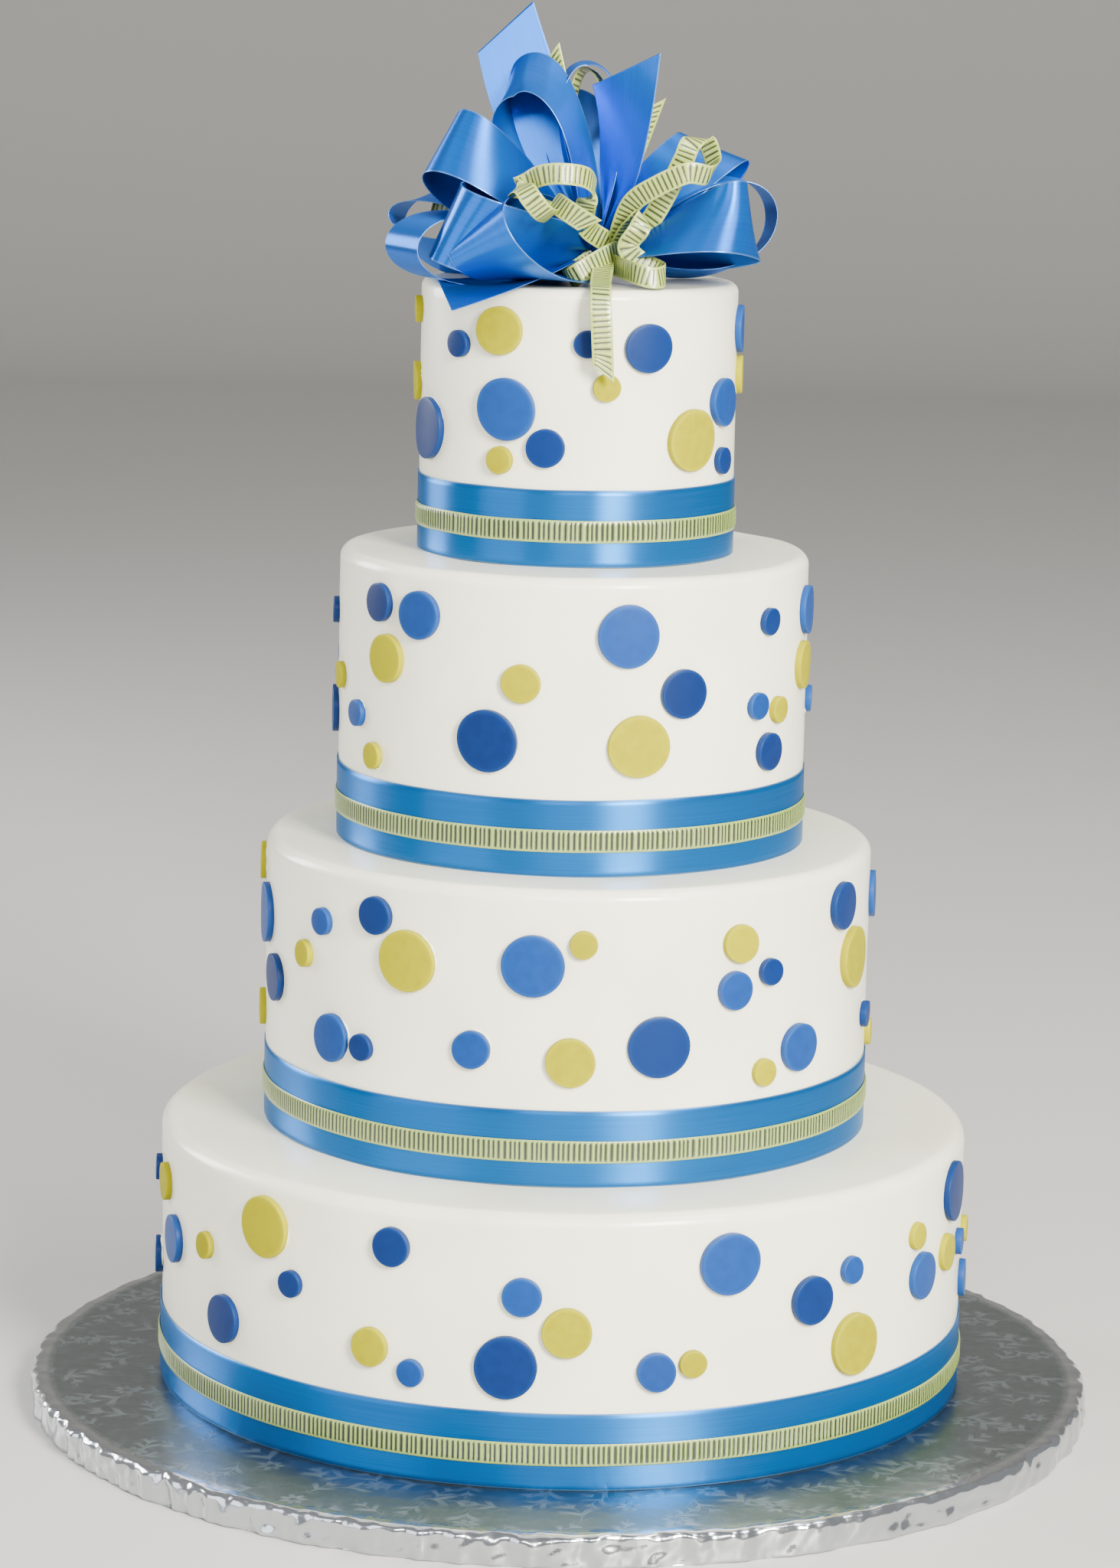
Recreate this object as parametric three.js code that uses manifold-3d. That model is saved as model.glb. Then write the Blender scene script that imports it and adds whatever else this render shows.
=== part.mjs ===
// A four-tier wedding cake on its foil-covered drum board, with a ribbon bow on top.
// Millimetres, +Z up. The origin is at the centre of the board's underside and the
// front of the cake faces -Y. Angles round the cake are degrees from the front, and
// positive ones lie towards +X.

import * as THREE from 'three';
import { mergeVertices } from 'three/addons/utils/BufferGeometryUtils.js';
import Module from 'manifold-3d';

const wasm = await Module();
wasm.setup();

// ---------------------------------------------------------------- driving dimensions

const CLEARANCE = 0.3;

const BOARD_RADIUS = 272;
const BOARD_THICKNESS = 16;
const BOARD_EDGE = 4;
const BOARD_LOWER_EDGE = 1;
const BOARD_SEGMENTS = 36;

// The tiers from the bottom up: 16, 12, 9 and 6 inch cakes under their icing.
const TIERS = [
  { name: 'tier_16in', radius: 206, height: 135, shoulder: 7 },
  { name: 'tier_12in', radius: 153.5, height: 146, shoulder: 6 },
  { name: 'tier_9in', radius: 118, height: 146, shoulder: 5.5 },
  { name: 'tier_6in', radius: 79, height: 135, shoulder: 5 },
];
const TIER_SEGMENTS = 32;
const SHOULDER_STOPS = [0, 40, 90];

const SATIN_WIDTH = 38;
const SATIN_BAND_THICKNESS = 0.5;
const GROSGRAIN_BAND_WIDTH = 11;
const GROSGRAIN_BAND_THICKNESS = 0.6;
const GROSGRAIN_BAND_LIFT = 12;

const DOT_THICKNESS = 3.3;
const DOT_SINK = 1;
const DOT_DIAMETERS = { S: 13.5, M: 19, L: 24, XL: 30.5 };
const DOT_SIDES = { S: 6, M: 6, L: 8, XL: 10 };
const DOT_COLOURS = { navy: 0x2468a8, blue: 0x4e87c4, yellow: 0xebd93c };
const MOST_DOT_NODES = 39;

const FOIL = { color: 0xc9ccd0, roughness: 0.25, metalness: 1 };
const FONDANT = { color: 0xf6f1e7, roughness: 0.6 };
const SUGAR_DOT_ROUGHNESS = 0.55;
const BAND_SATIN = { color: 0x1482cd, roughness: 0.3 };
const BOW_SATIN = { color: 0x3c82d7, roughness: 0.3 };
const GROSGRAIN = { color: 0xb4cd78, roughness: 0.6 };

const BOW_KNOT = new THREE.Vector3(8, -10, 591);
// The narrow ribbon's own loops and tails start a little further back, clear of the satin.
const GROSGRAIN_KNOT = new THREE.Vector3(8, -3, 591);
const BOW_KNOT_RADIUS = 18;
const BOW_KNOT_SIDES = 8;
const BOW_KNOT_RINGS = 5;
const BOW_RIBBON_THICKNESS = 0.6;
const PINCHED_HALF_WIDTH = 3;
// A loop is at its full width where its half turn has this sine, and a tail at this share.
const LOOP_SPREAD_AT = 0.77;
const TAIL_SPREAD_AT = 0.5;
const LOOP_STEPS = 8;
const LOOP_START = 56;
const SWELL_SEARCH_STEP = 3;
const TAIL_STEPS = 5;
const GROSGRAIN_WIDTH = 10.4;
const STRAND_STEPS_PER_POINT = 1;

// ---------------------------------------------------------------- the dots' layout

// Each dot is [angle round the cake, height above its tier's foot, size, tone].
const DOT_LAYOUT = {
  tier_16in: [
    [36, 85, 'L', 'navy'], [43, 96, 'S', 'blue'], [60, 80, 'L', 'blue'], [72, 113, 'XL', 'navy'],
    [77, 82, 'S', 'blue'], [-53, 57, 'L', 'navy'], [-39, 86, 'S', 'navy'], [-23, 114, 'M', 'navy'],
    [-20, 53, 'S', 'blue'], [-7, 60, 'XL', 'navy'], [-5, 95, 'M', 'blue'], [13, 58, 'M', 'blue'],
    [23, 109, 'XL', 'blue'], [44, 58, 'XL', 'yellow'], [58, 102, 'S', 'yellow'],
    [69, 84, 'M', 'yellow'], [-75, 107, 'M', 'yellow'], [-58, 90, 'S', 'yellow'],
    [-44, 111, 'XL', 'yellow'], [-26, 63, 'M', 'yellow'], [1, 78, 'L', 'yellow'],
    [18, 61, 'S', 'yellow'], [-83, 107, 'S', 'navy'], [-70, 82, 'L', 'blue'],
    [-84, 60, 'M', 'navy'], [84, 82, 'S', 'yellow'], [83, 57, 'M', 'blue'],
  ],
  tier_12in: [
    [40, 101, 'S', 'navy'], [48, 60, 'L', 'blue'], [62, 125, 'L', 'navy'], [78, 61, 'S', 'navy'],
    [-71, 78, 'L', 'navy'], [-51, 117, 'S', 'blue'], [-48, 60, 'L', 'blue'], [-40, 59, 'S', 'navy'],
    [-37, 126, 'M', 'navy'], [-17, 66, 'M', 'blue'], [-6, 109, 'XL', 'blue'], [17, 69, 'XL', 'navy'],
    [32, 94, 'M', 'blue'], [68, 96, 'XL', 'yellow'], [-57, 98, 'S', 'yellow'],
    [-30, 106, 'XL', 'yellow'], [1, 62, 'L', 'yellow'], [3, 120, 'S', 'yellow'],
    [33, 117, 'M', 'yellow'], [39, 51, 'S', 'yellow'], [-79, 107, 'XL', 'blue'],
    [-88, 129, 'M', 'yellow'], [-86, 54, 'M', 'yellow'], [86, 47, 'S', 'yellow'],
    [86, 119, 'L', 'blue'],
  ],
  tier_9in: [
    [54, 120, 'S', 'navy'], [55, 55, 'M', 'navy'], [78, 120, 'L', 'blue'], [-63, 68, 'S', 'blue'],
    [-53, 126, 'M', 'navy'], [-39, 123, 'L', 'blue'], [-20, 65, 'XL', 'navy'], [13, 118, 'XL', 'blue'],
    [27, 89, 'L', 'navy'], [50, 79, 'S', 'blue'], [59, 75, 'S', 'yellow'], [75, 93, 'L', 'yellow'],
    [-55, 49, 'S', 'yellow'], [-50, 99, 'L', 'yellow'], [-12, 94, 'M', 'yellow'],
    [16, 64, 'XL', 'yellow'], [-86, 113, 'S', 'navy'], [-88, 62, 'L', 'navy'],
    [87, 72, 'S', 'blue'], [-76, 83, 'S', 'yellow'],
  ],
  tier_6in: [
    [-67, 62, 'XL', 'navy'], [-47, 106, 'S', 'navy'], [-26, 76, 'XL', 'blue'], [-11, 58, 'M', 'navy'],
    [25, 107, 'L', 'navy'], [64, 49, 'S', 'navy'], [64, 78, 'L', 'blue'], [-29, 114, 'L', 'yellow'],
    [-28, 51, 'S', 'yellow'], [10, 88, 'S', 'yellow'], [45, 61, 'XL', 'yellow'],
    [-84, 119, 'S', 'yellow'], [-86, 83, 'M', 'yellow'], [3, 109, 'S', 'navy'],
    [86, 112, 'L', 'blue'], [88, 89, 'M', 'yellow'],
  ],
};
const BACK_COPY_LIMIT = 78;
const DOT_MARGIN = 2;
const NEXT_TONE = { navy: 'yellow', yellow: 'blue', blue: 'navy' };

// ---------------------------------------------------------------- the bow's layout

// A loop leaves the knot in the direction (azimuth, rise) and comes back to it, and a tail
// leaves it and ends in a slanted cut. Angles are degrees and lengths millimetres. The roll
// turns a ribbon about its own direction, the twist turns it on its way, and the sag bends
// it. The fullness moves a loop's widest place outwards, the slant skews its far end, and
// the turn swings both its sides the same way near the knot.
const LOOP_COLUMNS = [
  'azimuth', 'rise', 'roll', 'length', 'opening', 'twist', 'sag', 'fullness', 'slant', 'turn',
];
const TAIL_COLUMNS = ['azimuth', 'rise', 'roll', 'length', 'twist', 'sag', 'cut', 'lean'];

const SATIN_LOOPS = [
  [-157, 4, 180, 104, 34, -1, 2, 1.2, -0.06, 0],
  [168, 9, 190, 104, 31, 40, 1, 1.06, -0.01, 0],
  [-169, 33, -70, 97, 36, 17, 8, 1.5, 0.01, 35],
  [-142, 11, -105, 96, 38, -14, 5, 1.19, -0.16, -16],
  [-126, 4, 29, 96, 33, 32, 4, 0.84, 0, -18],
  [175, 64, -17, 96, 34, 11, 2, 1.4, 0.49, -15],
  [100, 70, 82, 99, 33, -9, -1, 1.05, 0.4, 0],
  [28, 37, 51, 82, 24, -29, 5, 1.13, 0.4, 0],
  [-25, 14, 79, 85, 34, -66, 2, 1.46, -0.03, 0],
  [11, 11, -4, 91, 44, 10, 6, 1.12, -0.06, 0],
  [80, 14, 80, 86, 36, -14, 3, 1.2, 0, 0],
  [138, 18, -70, 88, 34, 10, 3, 1.1, -0.1, 0],
  [112, 50, 80, 90, 34, 8, 4, 1.1, 0.1, 0],
];
const SATIN_TAILS = [
  [158, 57, -70, 122, 6, -1, 9, 16],
  [-22, 70, 70, 91, -34, 8, 9, -16],
  [-128, -12, -7, 104, 38, 4, -13, 13],
];

// The narrow ribbon's free strands. Each point is [x, y, z] with the direction
// across the ribbon there.
const GROSGRAIN_STRANDS = {
  left_curl: [
    [17, -26, 596, 0.3, 0, 1], [3, -40, 606, 1, 0.6, 0.2], [2, -54, 618, 0.9, -0.6, 0.4],
    [6, -62, 626, 0.2, 0.5, 1], [2, -74, 632, 0.1, 0.2, 1], [-9, -80, 634, 0, 0.2, 1],
    [-19, -77, 633, -0.3, 0.2, 1], [-27, -70, 629, -0.3, 0.5, 0.8], [-32, -76, 626, 0.5, 0.6, 0.6],
    [-28, -86, 627, 1, 0.1, 0.4], [-24, -90, 622, 0.9, 0, 0.3], [-18, -86, 615, 0.9, 0, 0.5],
    [-14, -74, 614, 0.7, -0.2, 0.7], [-14, -70, 620, 0.7, -0.2, 0.6], [-8, -80, 617, 0.7, -0.1, 0.8],
    [4, -88, 610, 0.6, 0, 0.8],
  ],
  right_loop: [
    [18, -26, 595, 1, 0, 0.2], [20, -34, 607, 0.9, 0, -0.2], [25, -42, 619, 0.7, 0, -0.7],
    [36, -48, 627, 0.3, 0, -0.9], [51, -52, 634, 0.1, 0, -1], [62, -46, 633, -0.2, 0.4, -0.9],
    [64, -34, 639, -0.7, 0.6, -0.3], [60, -30, 649, -0.9, 0.4, 0], [53, -38, 648, -0.9, 0, 0.2],
    [49, -38, 639, -0.9, 0, 0.4], [41, -32, 622, -0.8, 0, 0.6], [33, -28, 608, -0.8, 0.2, 0.6],
    [23, -22, 596, -0.6, 0.2, 0.7],
  ],
  knot_loop: [
    [19, -30, 597, 1, 0, 0.3], [24, -40, 609, 0.9, 0.2, 0.4], [30, -46, 612, 0.5, 0.5, -0.7],
    [28, -50, 606, 1, 0, 0.1], [23, -48, 598, 0.9, 0, 0.3], [27, -50, 592, 0.6, 0.1, 0.8],
    [37, -52, 587, 0.1, 0.3, 1], [41, -60, 585, 0, 0.2, 1], [36, -68, 584, -0.1, 0.2, 1],
    [26, -64, 586, -0.1, 0.2, 1], [16, -36, 588, 0, 0.2, 1],
  ],
  knot_wrap: [
    [19, -30, 595, -0.1, 0, 1], [12, -42, 592, -0.2, 0, 1], [0, -52, 585, -0.5, 0, 0.9],
    [-6, -44, 581, -0.6, 0.3, 0.8], [-1, -32, 585, -0.5, 0.3, 0.8], [10, -20, 592, -0.2, 0.3, 0.9],
  ],
  hanging_tail: [
    [12, -30, 592, 1, 0, -0.1], [11, -46, 587, 1, 0, -0.1], [10, -66, 582, 1, 0.1, 0],
    [10, -84, 580, 1, 0.1, 0], [10, -91, 572, 1, 0.1, 0], [11, -92, 557, 1, 0.1, 0],
    [12, -90, 539, 1, 0.1, 0],
  ],
};
// The strands that are tied or cross each other make one piece.
const GROSGRAIN_PIECES = {
  grosgrain_knot: ['knot_wrap', 'knot_loop', 'hanging_tail'],
  grosgrain_curl_left: ['left_curl'],
  grosgrain_curl_right: ['right_loop'],
};
const GROSGRAIN_LOOPS = {
  grosgrain_loop_left: [172, 14, -85, 86, 16, 0, 0, 1, 0, 0],
  grosgrain_loop_top: [98, 77, 60, 93, 20, 0, -4, 1, 0, 20],
};
const GROSGRAIN_TAILS = {
  grosgrain_tail_left: [150, 74, -86, 102, 0, 0, 4, 0],
  grosgrain_tail_right: [46, 62, 72, 83, 0, 0, 6, 0],
};

// ---------------------------------------------------------------- shared helpers

const radians = THREE.MathUtils.degToRad;
const smoothstep = (value) => THREE.MathUtils.smoothstep(value, 0, 1);

/** A table row as an object with a field for each column. */
function fromRow(columns, row) {
  return Object.fromEntries(columns.map((name, index) => [name, row[index]]));
}

/** A closed BufferGeometry as a manifold-3d solid. */
function toSolid(geometry) {
  const bare = geometry.clone();
  bare.deleteAttribute('normal');
  bare.deleteAttribute('uv');
  const merged = mergeVertices(bare, 1e-4);
  return new wasm.Manifold(new wasm.Mesh({
    numProp: 3,
    vertProperties: new Float32Array(merged.attributes.position.array),
    triVerts: new Uint32Array(merged.index.array),
  }));
}

/** A manifold-3d solid as a BufferGeometry. */
function toGeometry(solid) {
  const mesh = solid.getMesh();
  const geometry = new THREE.BufferGeometry();
  geometry.setAttribute('position', new THREE.BufferAttribute(mesh.vertProperties, mesh.numProp));
  geometry.setIndex(new THREE.BufferAttribute(mesh.triVerts, 1));
  geometry.computeVertexNormals();
  return geometry;
}

/** A BufferGeometry from a list of points and a list of triangles. */
function toMeshGeometry(points, triangles) {
  const geometry = new THREE.BufferGeometry();
  geometry.setAttribute('position', new THREE.Float32BufferAttribute(points.flat(), 3));
  geometry.setIndex(triangles.flat());
  return geometry;
}

/** All the solids joined into one. */
function joinAll(solids) {
  return solids.reduce((joined, solid) => joined.add(solid));
}

/** The biggest separate body of a solid, which drops scraps left by a cut. */
function largestBody(solid) {
  const bodies = solid.decompose();
  return bodies.reduce((best, body) => (body.volume() > best.volume() ? body : best));
}

/** A solid turned about the Z axis from [radius, height] points on a closed outline. */
function turned(outline, segments) {
  const points = outline.map(([radius, height]) => new THREE.Vector2(radius, height));
  const geometry = new THREE.LatheGeometry(points, segments);
  geometry.rotateX(Math.PI / 2);
  return geometry;
}

/** A named mesh with its own material. */
function makeMesh(name, geometry, finish) {
  const mesh = new THREE.Mesh(geometry, new THREE.MeshStandardMaterial(finish));
  mesh.name = name;
  return mesh;
}

// ---------------------------------------------------------------- board and tiers

/** The drum board: a flat disc with eased edges. */
function makeBoard() {
  const inner = BOARD_RADIUS - BOARD_EDGE;
  const outline = [
    [0, 0],
    [BOARD_RADIUS - BOARD_LOWER_EDGE, 0],
    [BOARD_RADIUS, BOARD_LOWER_EDGE],
    [BOARD_RADIUS, BOARD_THICKNESS - BOARD_EDGE],
    [inner + BOARD_EDGE * Math.SQRT1_2, BOARD_THICKNESS - BOARD_EDGE * (1 - Math.SQRT1_2)],
    [inner, BOARD_THICKNESS],
    [0, BOARD_THICKNESS],
  ];
  return makeMesh('cake_board', turned(outline, BOARD_SEGMENTS), FOIL);
}

/** Every tier with the height of its foot, each resting on the one below. */
function stackedTiers() {
  let foot = BOARD_THICKNESS;
  return TIERS.map((tier) => {
    const placed = { ...tier, foot: foot + CLEARANCE, top: foot + tier.height };
    foot += tier.height;
    return placed;
  });
}

/** A tier's solid: a straight wall and a rounded shoulder. */
function tierSolid(tier, extra = 0) {
  const radius = tier.radius + extra;
  const top = tier.top + extra;
  const shoulder = SHOULDER_STOPS.map((degrees) => [
    radius - tier.shoulder * (1 - Math.cos(radians(degrees))),
    top - tier.shoulder * (1 - Math.sin(radians(degrees))),
  ]);
  const outline = [[0, tier.foot], [radius, tier.foot], ...shoulder, [0, top]];
  return toSolid(turned(outline, TIER_SEGMENTS));
}

/** A ribbon band round a tier, as a thin ring. */
function makeBand(name, tier, { inset, thickness, lift, width, finish }) {
  const inner = tier.radius + inset;
  const low = tier.foot + lift;
  const outline = [
    [inner, low],
    [inner + thickness, low],
    [inner + thickness, low + width],
    [inner, low + width],
    [inner, low],
  ];
  return makeMesh(name, turned(outline, TIER_SEGMENTS), finish);
}

// ---------------------------------------------------------------- dots

/** The gap between two dots' rims, measured over the tier's wall. */
function dotGap(one, other, radius) {
  const turn = THREE.MathUtils.euclideanModulo(one.angle - other.angle + 180, 360) - 180;
  const apart = Math.hypot(radians(turn) * radius, one.height - other.height);
  return apart - (DOT_DIAMETERS[one.size] + DOT_DIAMETERS[other.size]) / 2;
}

/** The tier's dots: those of the layout, and copies of the front ones on the back. */
function dotsOf(tier) {
  const placed = DOT_LAYOUT[tier.name].map(([angle, height, size, tone]) => (
    { angle, height, size, tone, tier }));
  const lowest = SATIN_WIDTH + DOT_DIAMETERS.XL / 2 + DOT_MARGIN;
  const highest = tier.height - tier.shoulder - DOT_DIAMETERS.XL / 2;
  const front = placed.filter((dot) => Math.abs(dot.angle) < BACK_COPY_LIMIT && dot.size !== 'S');
  for (const dot of front) {
    const height = THREE.MathUtils.clamp(lowest + highest - dot.height, lowest, highest);
    const copy = { ...dot, angle: dot.angle + 180, height, tone: NEXT_TONE[dot.tone] };
    if (placed.every((other) => dotGap(copy, other, tier.radius) > DOT_MARGIN)) placed.push(copy);
  }
  return placed;
}

/** A disc bent round its tier, between two distances from the tier's axis. */
function dotGeometry(dot, innerRadius, outerRadius) {
  const sides = DOT_SIDES[dot.size];
  const rim = DOT_DIAMETERS[dot.size] / 2;
  const points = [];
  for (const radius of [innerRadius, outerRadius]) {
    for (let corner = 0; corner < sides; corner += 1) {
      const turn = (2 * Math.PI * corner) / sides;
      const angle = radians(dot.angle) + (rim * Math.cos(turn)) / dot.tier.radius;
      const height = dot.tier.foot + dot.height + rim * Math.sin(turn);
      points.push([radius * Math.sin(angle), -radius * Math.cos(angle), height]);
    }
  }
  const triangles = [];
  for (let step = 0; step < sides / 2; step += 1) {
    const [a, b] = [step, step + 1];
    const [c, d] = [(sides - step) % sides, sides - step - 1];
    for (const face of [[a, b, d], [a, d, c]]) {
      if (new Set(face).size === 3) {
        triangles.push([face[0] + sides, face[1] + sides, face[2] + sides]);
        triangles.push([face[2], face[1], face[0]]);
      }
    }
  }
  for (let corner = 0; corner < sides; corner += 1) {
    const next = (corner + 1) % sides;
    triangles.push([corner, next, next + sides]);
    triangles.push([corner, next + sides, corner + sides]);
  }
  return toMeshGeometry(points, triangles);
}

/** The dots that are nodes of their own: the biggest, and those nearest the front first. */
function chooseDotNodes(dots) {
  const diameter = (dot) => DOT_DIAMETERS[dot.size];
  const turn = (dot) => Math.abs(THREE.MathUtils.euclideanModulo(dot.angle + 180, 360) - 180);
  const order = (one, other) => diameter(other) - diameter(one) || turn(one) - turn(other);
  return [...dots].sort(order).slice(0, MOST_DOT_NODES);
}

// ---------------------------------------------------------------- ribbon strips

/** The outward, opening and cross directions of a ribbon that leaves the knot. */
function ribbonAxes({ azimuth, rise, roll }) {
  const [turn, lift, spin] = [radians(azimuth), radians(rise), radians(roll)];
  const along = new THREE.Vector3(
    Math.cos(turn) * Math.cos(lift), Math.sin(turn) * Math.cos(lift), Math.sin(lift));
  const upward = new THREE.Vector3(
    -Math.cos(turn) * Math.sin(lift), -Math.sin(turn) * Math.sin(lift), Math.cos(lift));
  const sideways = new THREE.Vector3().crossVectors(along, upward);
  const open = upward.multiplyScalar(Math.cos(spin)).addScaledVector(sideways, Math.sin(spin));
  return { along, open, across: new THREE.Vector3().crossVectors(along, open) };
}

/** The stations with the unit directions across the ribbon and out of its face. */
function withAxes(stations) {
  return stations.map((station, index) => {
    const before = stations[Math.max(index - 1, 0)].centre;
    const after = stations[Math.min(index + 1, stations.length - 1)].centre;
    const tangent = new THREE.Vector3().subVectors(after, before).normalize();
    const across = station.direction.clone();
    across.addScaledVector(tangent, -across.dot(tangent)).normalize();
    return { ...station, across, outward: new THREE.Vector3().crossVectors(tangent, across) };
  });
}

/** The stations of a loop, from inside the knot out and back to it. */
function loopStations(row, width, knot) {
  const loop = fromRow(LOOP_COLUMNS, row);
  const { along, open, across } = ribbonAxes(loop);
  const swell = (phase) => Math.sin(phase) * Math.abs(Math.sin(phase / 2)) ** loop.fullness;
  let fullest = 0;
  for (let degrees = 0; degrees < 180; degrees += SWELL_SEARCH_STEP) {
    fullest = Math.max(fullest, swell(radians(degrees)));
  }
  const stations = [];
  for (let step = 0; step <= LOOP_STEPS; step += 1) {
    const phase = radians(THREE.MathUtils.lerp(LOOP_START, 360 - LOOP_START, step / LOOP_STEPS));
    const reach = (1 - Math.cos(phase)) / 2;
    const fold = Math.cos(phase / 2);
    const centre = knot.clone()
      .addScaledVector(along, loop.length * reach)
      .addScaledVector(open, ((loop.opening / 2) * swell(phase)) / fullest + loop.sag * reach ** 2);
    const direction = across.clone()
      .addScaledVector(along, loop.slant * Math.sin(phase / 2) ** 2)
      .applyAxisAngle(along, radians(loop.twist * fold + loop.turn * fold ** 2));
    const spread = smoothstep(Math.sin(phase / 2) / LOOP_SPREAD_AT);
    const half = THREE.MathUtils.lerp(PINCHED_HALF_WIDTH, width / 2, spread);
    stations.push({ centre, direction, half });
  }
  return withAxes(stations);
}

/** The stations of a tail, from the knot to its cut end. */
function tailStations(row, width, knot) {
  const tail = fromRow(TAIL_COLUMNS, row);
  const { along, open, across } = ribbonAxes(tail);
  const stations = [];
  for (let step = 0; step <= TAIL_STEPS; step += 1) {
    const part = step / TAIL_STEPS;
    const centre = knot.clone()
      .addScaledVector(along, tail.length * part)
      .addScaledVector(open, tail.sag * part ** 2)
      .addScaledVector(across, tail.lean * part ** 2);
    const direction = across.clone().applyAxisAngle(along, radians(tail.twist) * (1 - part));
    const spread = smoothstep(part / TAIL_SPREAD_AT);
    const half = THREE.MathUtils.lerp(PINCHED_HALF_WIDTH, width / 2, spread);
    stations.push({ centre, direction, half, shear: along.clone().multiplyScalar(tail.cut * part ** 3) });
  }
  return withAxes(stations);
}

/** The stations of a strand that runs smoothly through hand-placed points. */
function strandStations(rows, width) {
  const centres = new THREE.CatmullRomCurve3(
    rows.map(([x, y, z]) => new THREE.Vector3(x, y, z)), false, 'catmullrom', 0.5);
  const directions = new THREE.CatmullRomCurve3(
    rows.map(([, , , x, y, z]) => new THREE.Vector3(x, y, z).normalize()), false, 'catmullrom', 0.5);
  const steps = (rows.length - 1) * STRAND_STEPS_PER_POINT;
  const stations = [];
  for (let step = 0; step <= steps; step += 1) {
    const centre = centres.getPoint(step / steps);
    stations.push({ centre, direction: directions.getPoint(step / steps), half: width / 2 });
  }
  return withAxes(stations);
}

/** A closed strip of one thickness along its stations. */
function stripSolid(stations, thickness, margin) {
  const points = [];
  for (const station of stations) {
    for (const [side, face] of [[-1, -1], [1, -1], [1, 1], [-1, 1]]) {
      const corner = station.centre.clone()
        .addScaledVector(station.across, side * (station.half + margin))
        .addScaledVector(station.outward, face * (thickness / 2 + margin));
      if (station.shear) corner.addScaledVector(station.shear, side);
      points.push(corner.toArray());
    }
  }
  const triangles = [[0, 2, 1], [0, 3, 2]];
  for (let index = 0; index < stations.length - 1; index += 1) {
    for (let side = 0; side < 4; side += 1) {
      const [a, b] = [index * 4 + side, index * 4 + ((side + 1) % 4)];
      // Both faces are split along the same diagonal, so a twisted strip stays as thick.
      if (side === 2) triangles.push([a, b, a + 4], [b, b + 4, a + 4]);
      else triangles.push([a, b, b + 4], [a, b + 4, a + 4]);
    }
  }
  const last = (stations.length - 1) * 4;
  triangles.push([last, last + 1, last + 2], [last, last + 2, last + 3]);
  return toSolid(toMeshGeometry(points, triangles));
}

/** A loop's two strands, each a strip of its own, joined at the far end. */
function loopSolid(row, width, knot, margin = 0) {
  const stations = loopStations(row, width, knot);
  const far = LOOP_STEPS / 2;
  const strands = [stations.slice(0, far + 1), stations.slice(far)];
  return joinAll(strands.map((strand) => stripSolid(strand, BOW_RIBBON_THICKNESS, margin)));
}

/** The satin bow: its loops, its tails and the gathered ribbon in the knot. */
function satinBow(margin) {
  const loops = SATIN_LOOPS.map((row) => loopSolid(row, SATIN_WIDTH, BOW_KNOT, margin));
  const tails = SATIN_TAILS.map((row) => stripSolid(
    tailStations(row, SATIN_WIDTH, BOW_KNOT), BOW_RIBBON_THICKNESS, margin));
  const gathered = new THREE.SphereGeometry(
    BOW_KNOT_RADIUS + margin, BOW_KNOT_SIDES, BOW_KNOT_RINGS);
  gathered.translate(...BOW_KNOT.toArray());
  return joinAll([toSolid(gathered), ...loops, ...tails]);
}

/** One piece of the narrow ribbon: a loop, a tail, or strands tied together. */
function grosgrainPiece(name, margin) {
  if (GROSGRAIN_LOOPS[name]) {
    return loopSolid(GROSGRAIN_LOOPS[name], GROSGRAIN_WIDTH, GROSGRAIN_KNOT, margin);
  }
  const strands = GROSGRAIN_TAILS[name]
    ? [tailStations(GROSGRAIN_TAILS[name], GROSGRAIN_WIDTH, GROSGRAIN_KNOT)]
    : GROSGRAIN_PIECES[name].map((strand) => strandStations(GROSGRAIN_STRANDS[strand], GROSGRAIN_WIDTH));
  return joinAll(strands.map((stations) => stripSolid(stations, BOW_RIBBON_THICKNESS, margin)));
}

// ---------------------------------------------------------------- assembly

const cake = new THREE.Group();
const tiers = stackedTiers();
const dots = tiers.flatMap((tier) => dotsOf(tier));
const dotNodes = chooseDotNodes(dots);

cake.add(makeBoard());

for (const tier of tiers) {
  const fused = dots.filter((dot) => dot.tier.name === tier.name && !dotNodes.includes(dot));
  const solids = fused.map((dot) => toSolid(
    dotGeometry(dot, tier.radius - DOT_SINK, tier.radius + DOT_THICKNESS)));
  const body = joinAll([tierSolid(tier), ...solids]);
  cake.add(makeMesh(tier.name, toGeometry(body), FONDANT));
  const size = tier.name.replace('tier_', '');
  cake.add(makeBand(`satin_band_${size}`, tier, {
    inset: CLEARANCE, thickness: SATIN_BAND_THICKNESS, lift: CLEARANCE, width: SATIN_WIDTH,
    finish: BAND_SATIN,
  }));
  cake.add(makeBand(`grosgrain_band_${size}`, tier, {
    inset: 2 * CLEARANCE + SATIN_BAND_THICKNESS, thickness: GROSGRAIN_BAND_THICKNESS,
    lift: GROSGRAIN_BAND_LIFT, width: GROSGRAIN_BAND_WIDTH, finish: GROSGRAIN,
  }));
}

dotNodes.forEach((dot, index) => {
  const inner = dot.tier.radius + CLEARANCE;
  const geometry = dotGeometry(dot, inner, dot.tier.radius + DOT_THICKNESS);
  const number = String(index + 1).padStart(2, '0');
  const finish = { color: DOT_COLOURS[dot.tone], roughness: SUGAR_DOT_ROUGHNESS };
  cake.add(makeMesh(`dot_${number}_${dot.tone}`, geometry, finish));
});

const topTier = tierSolid(tiers[tiers.length - 1], CLEARANCE);
const bow = largestBody(satinBow(0).subtract(topTier));
cake.add(makeMesh('satin_bow', toGeometry(bow), BOW_SATIN));

const taken = [topTier, satinBow(CLEARANCE)];

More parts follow.
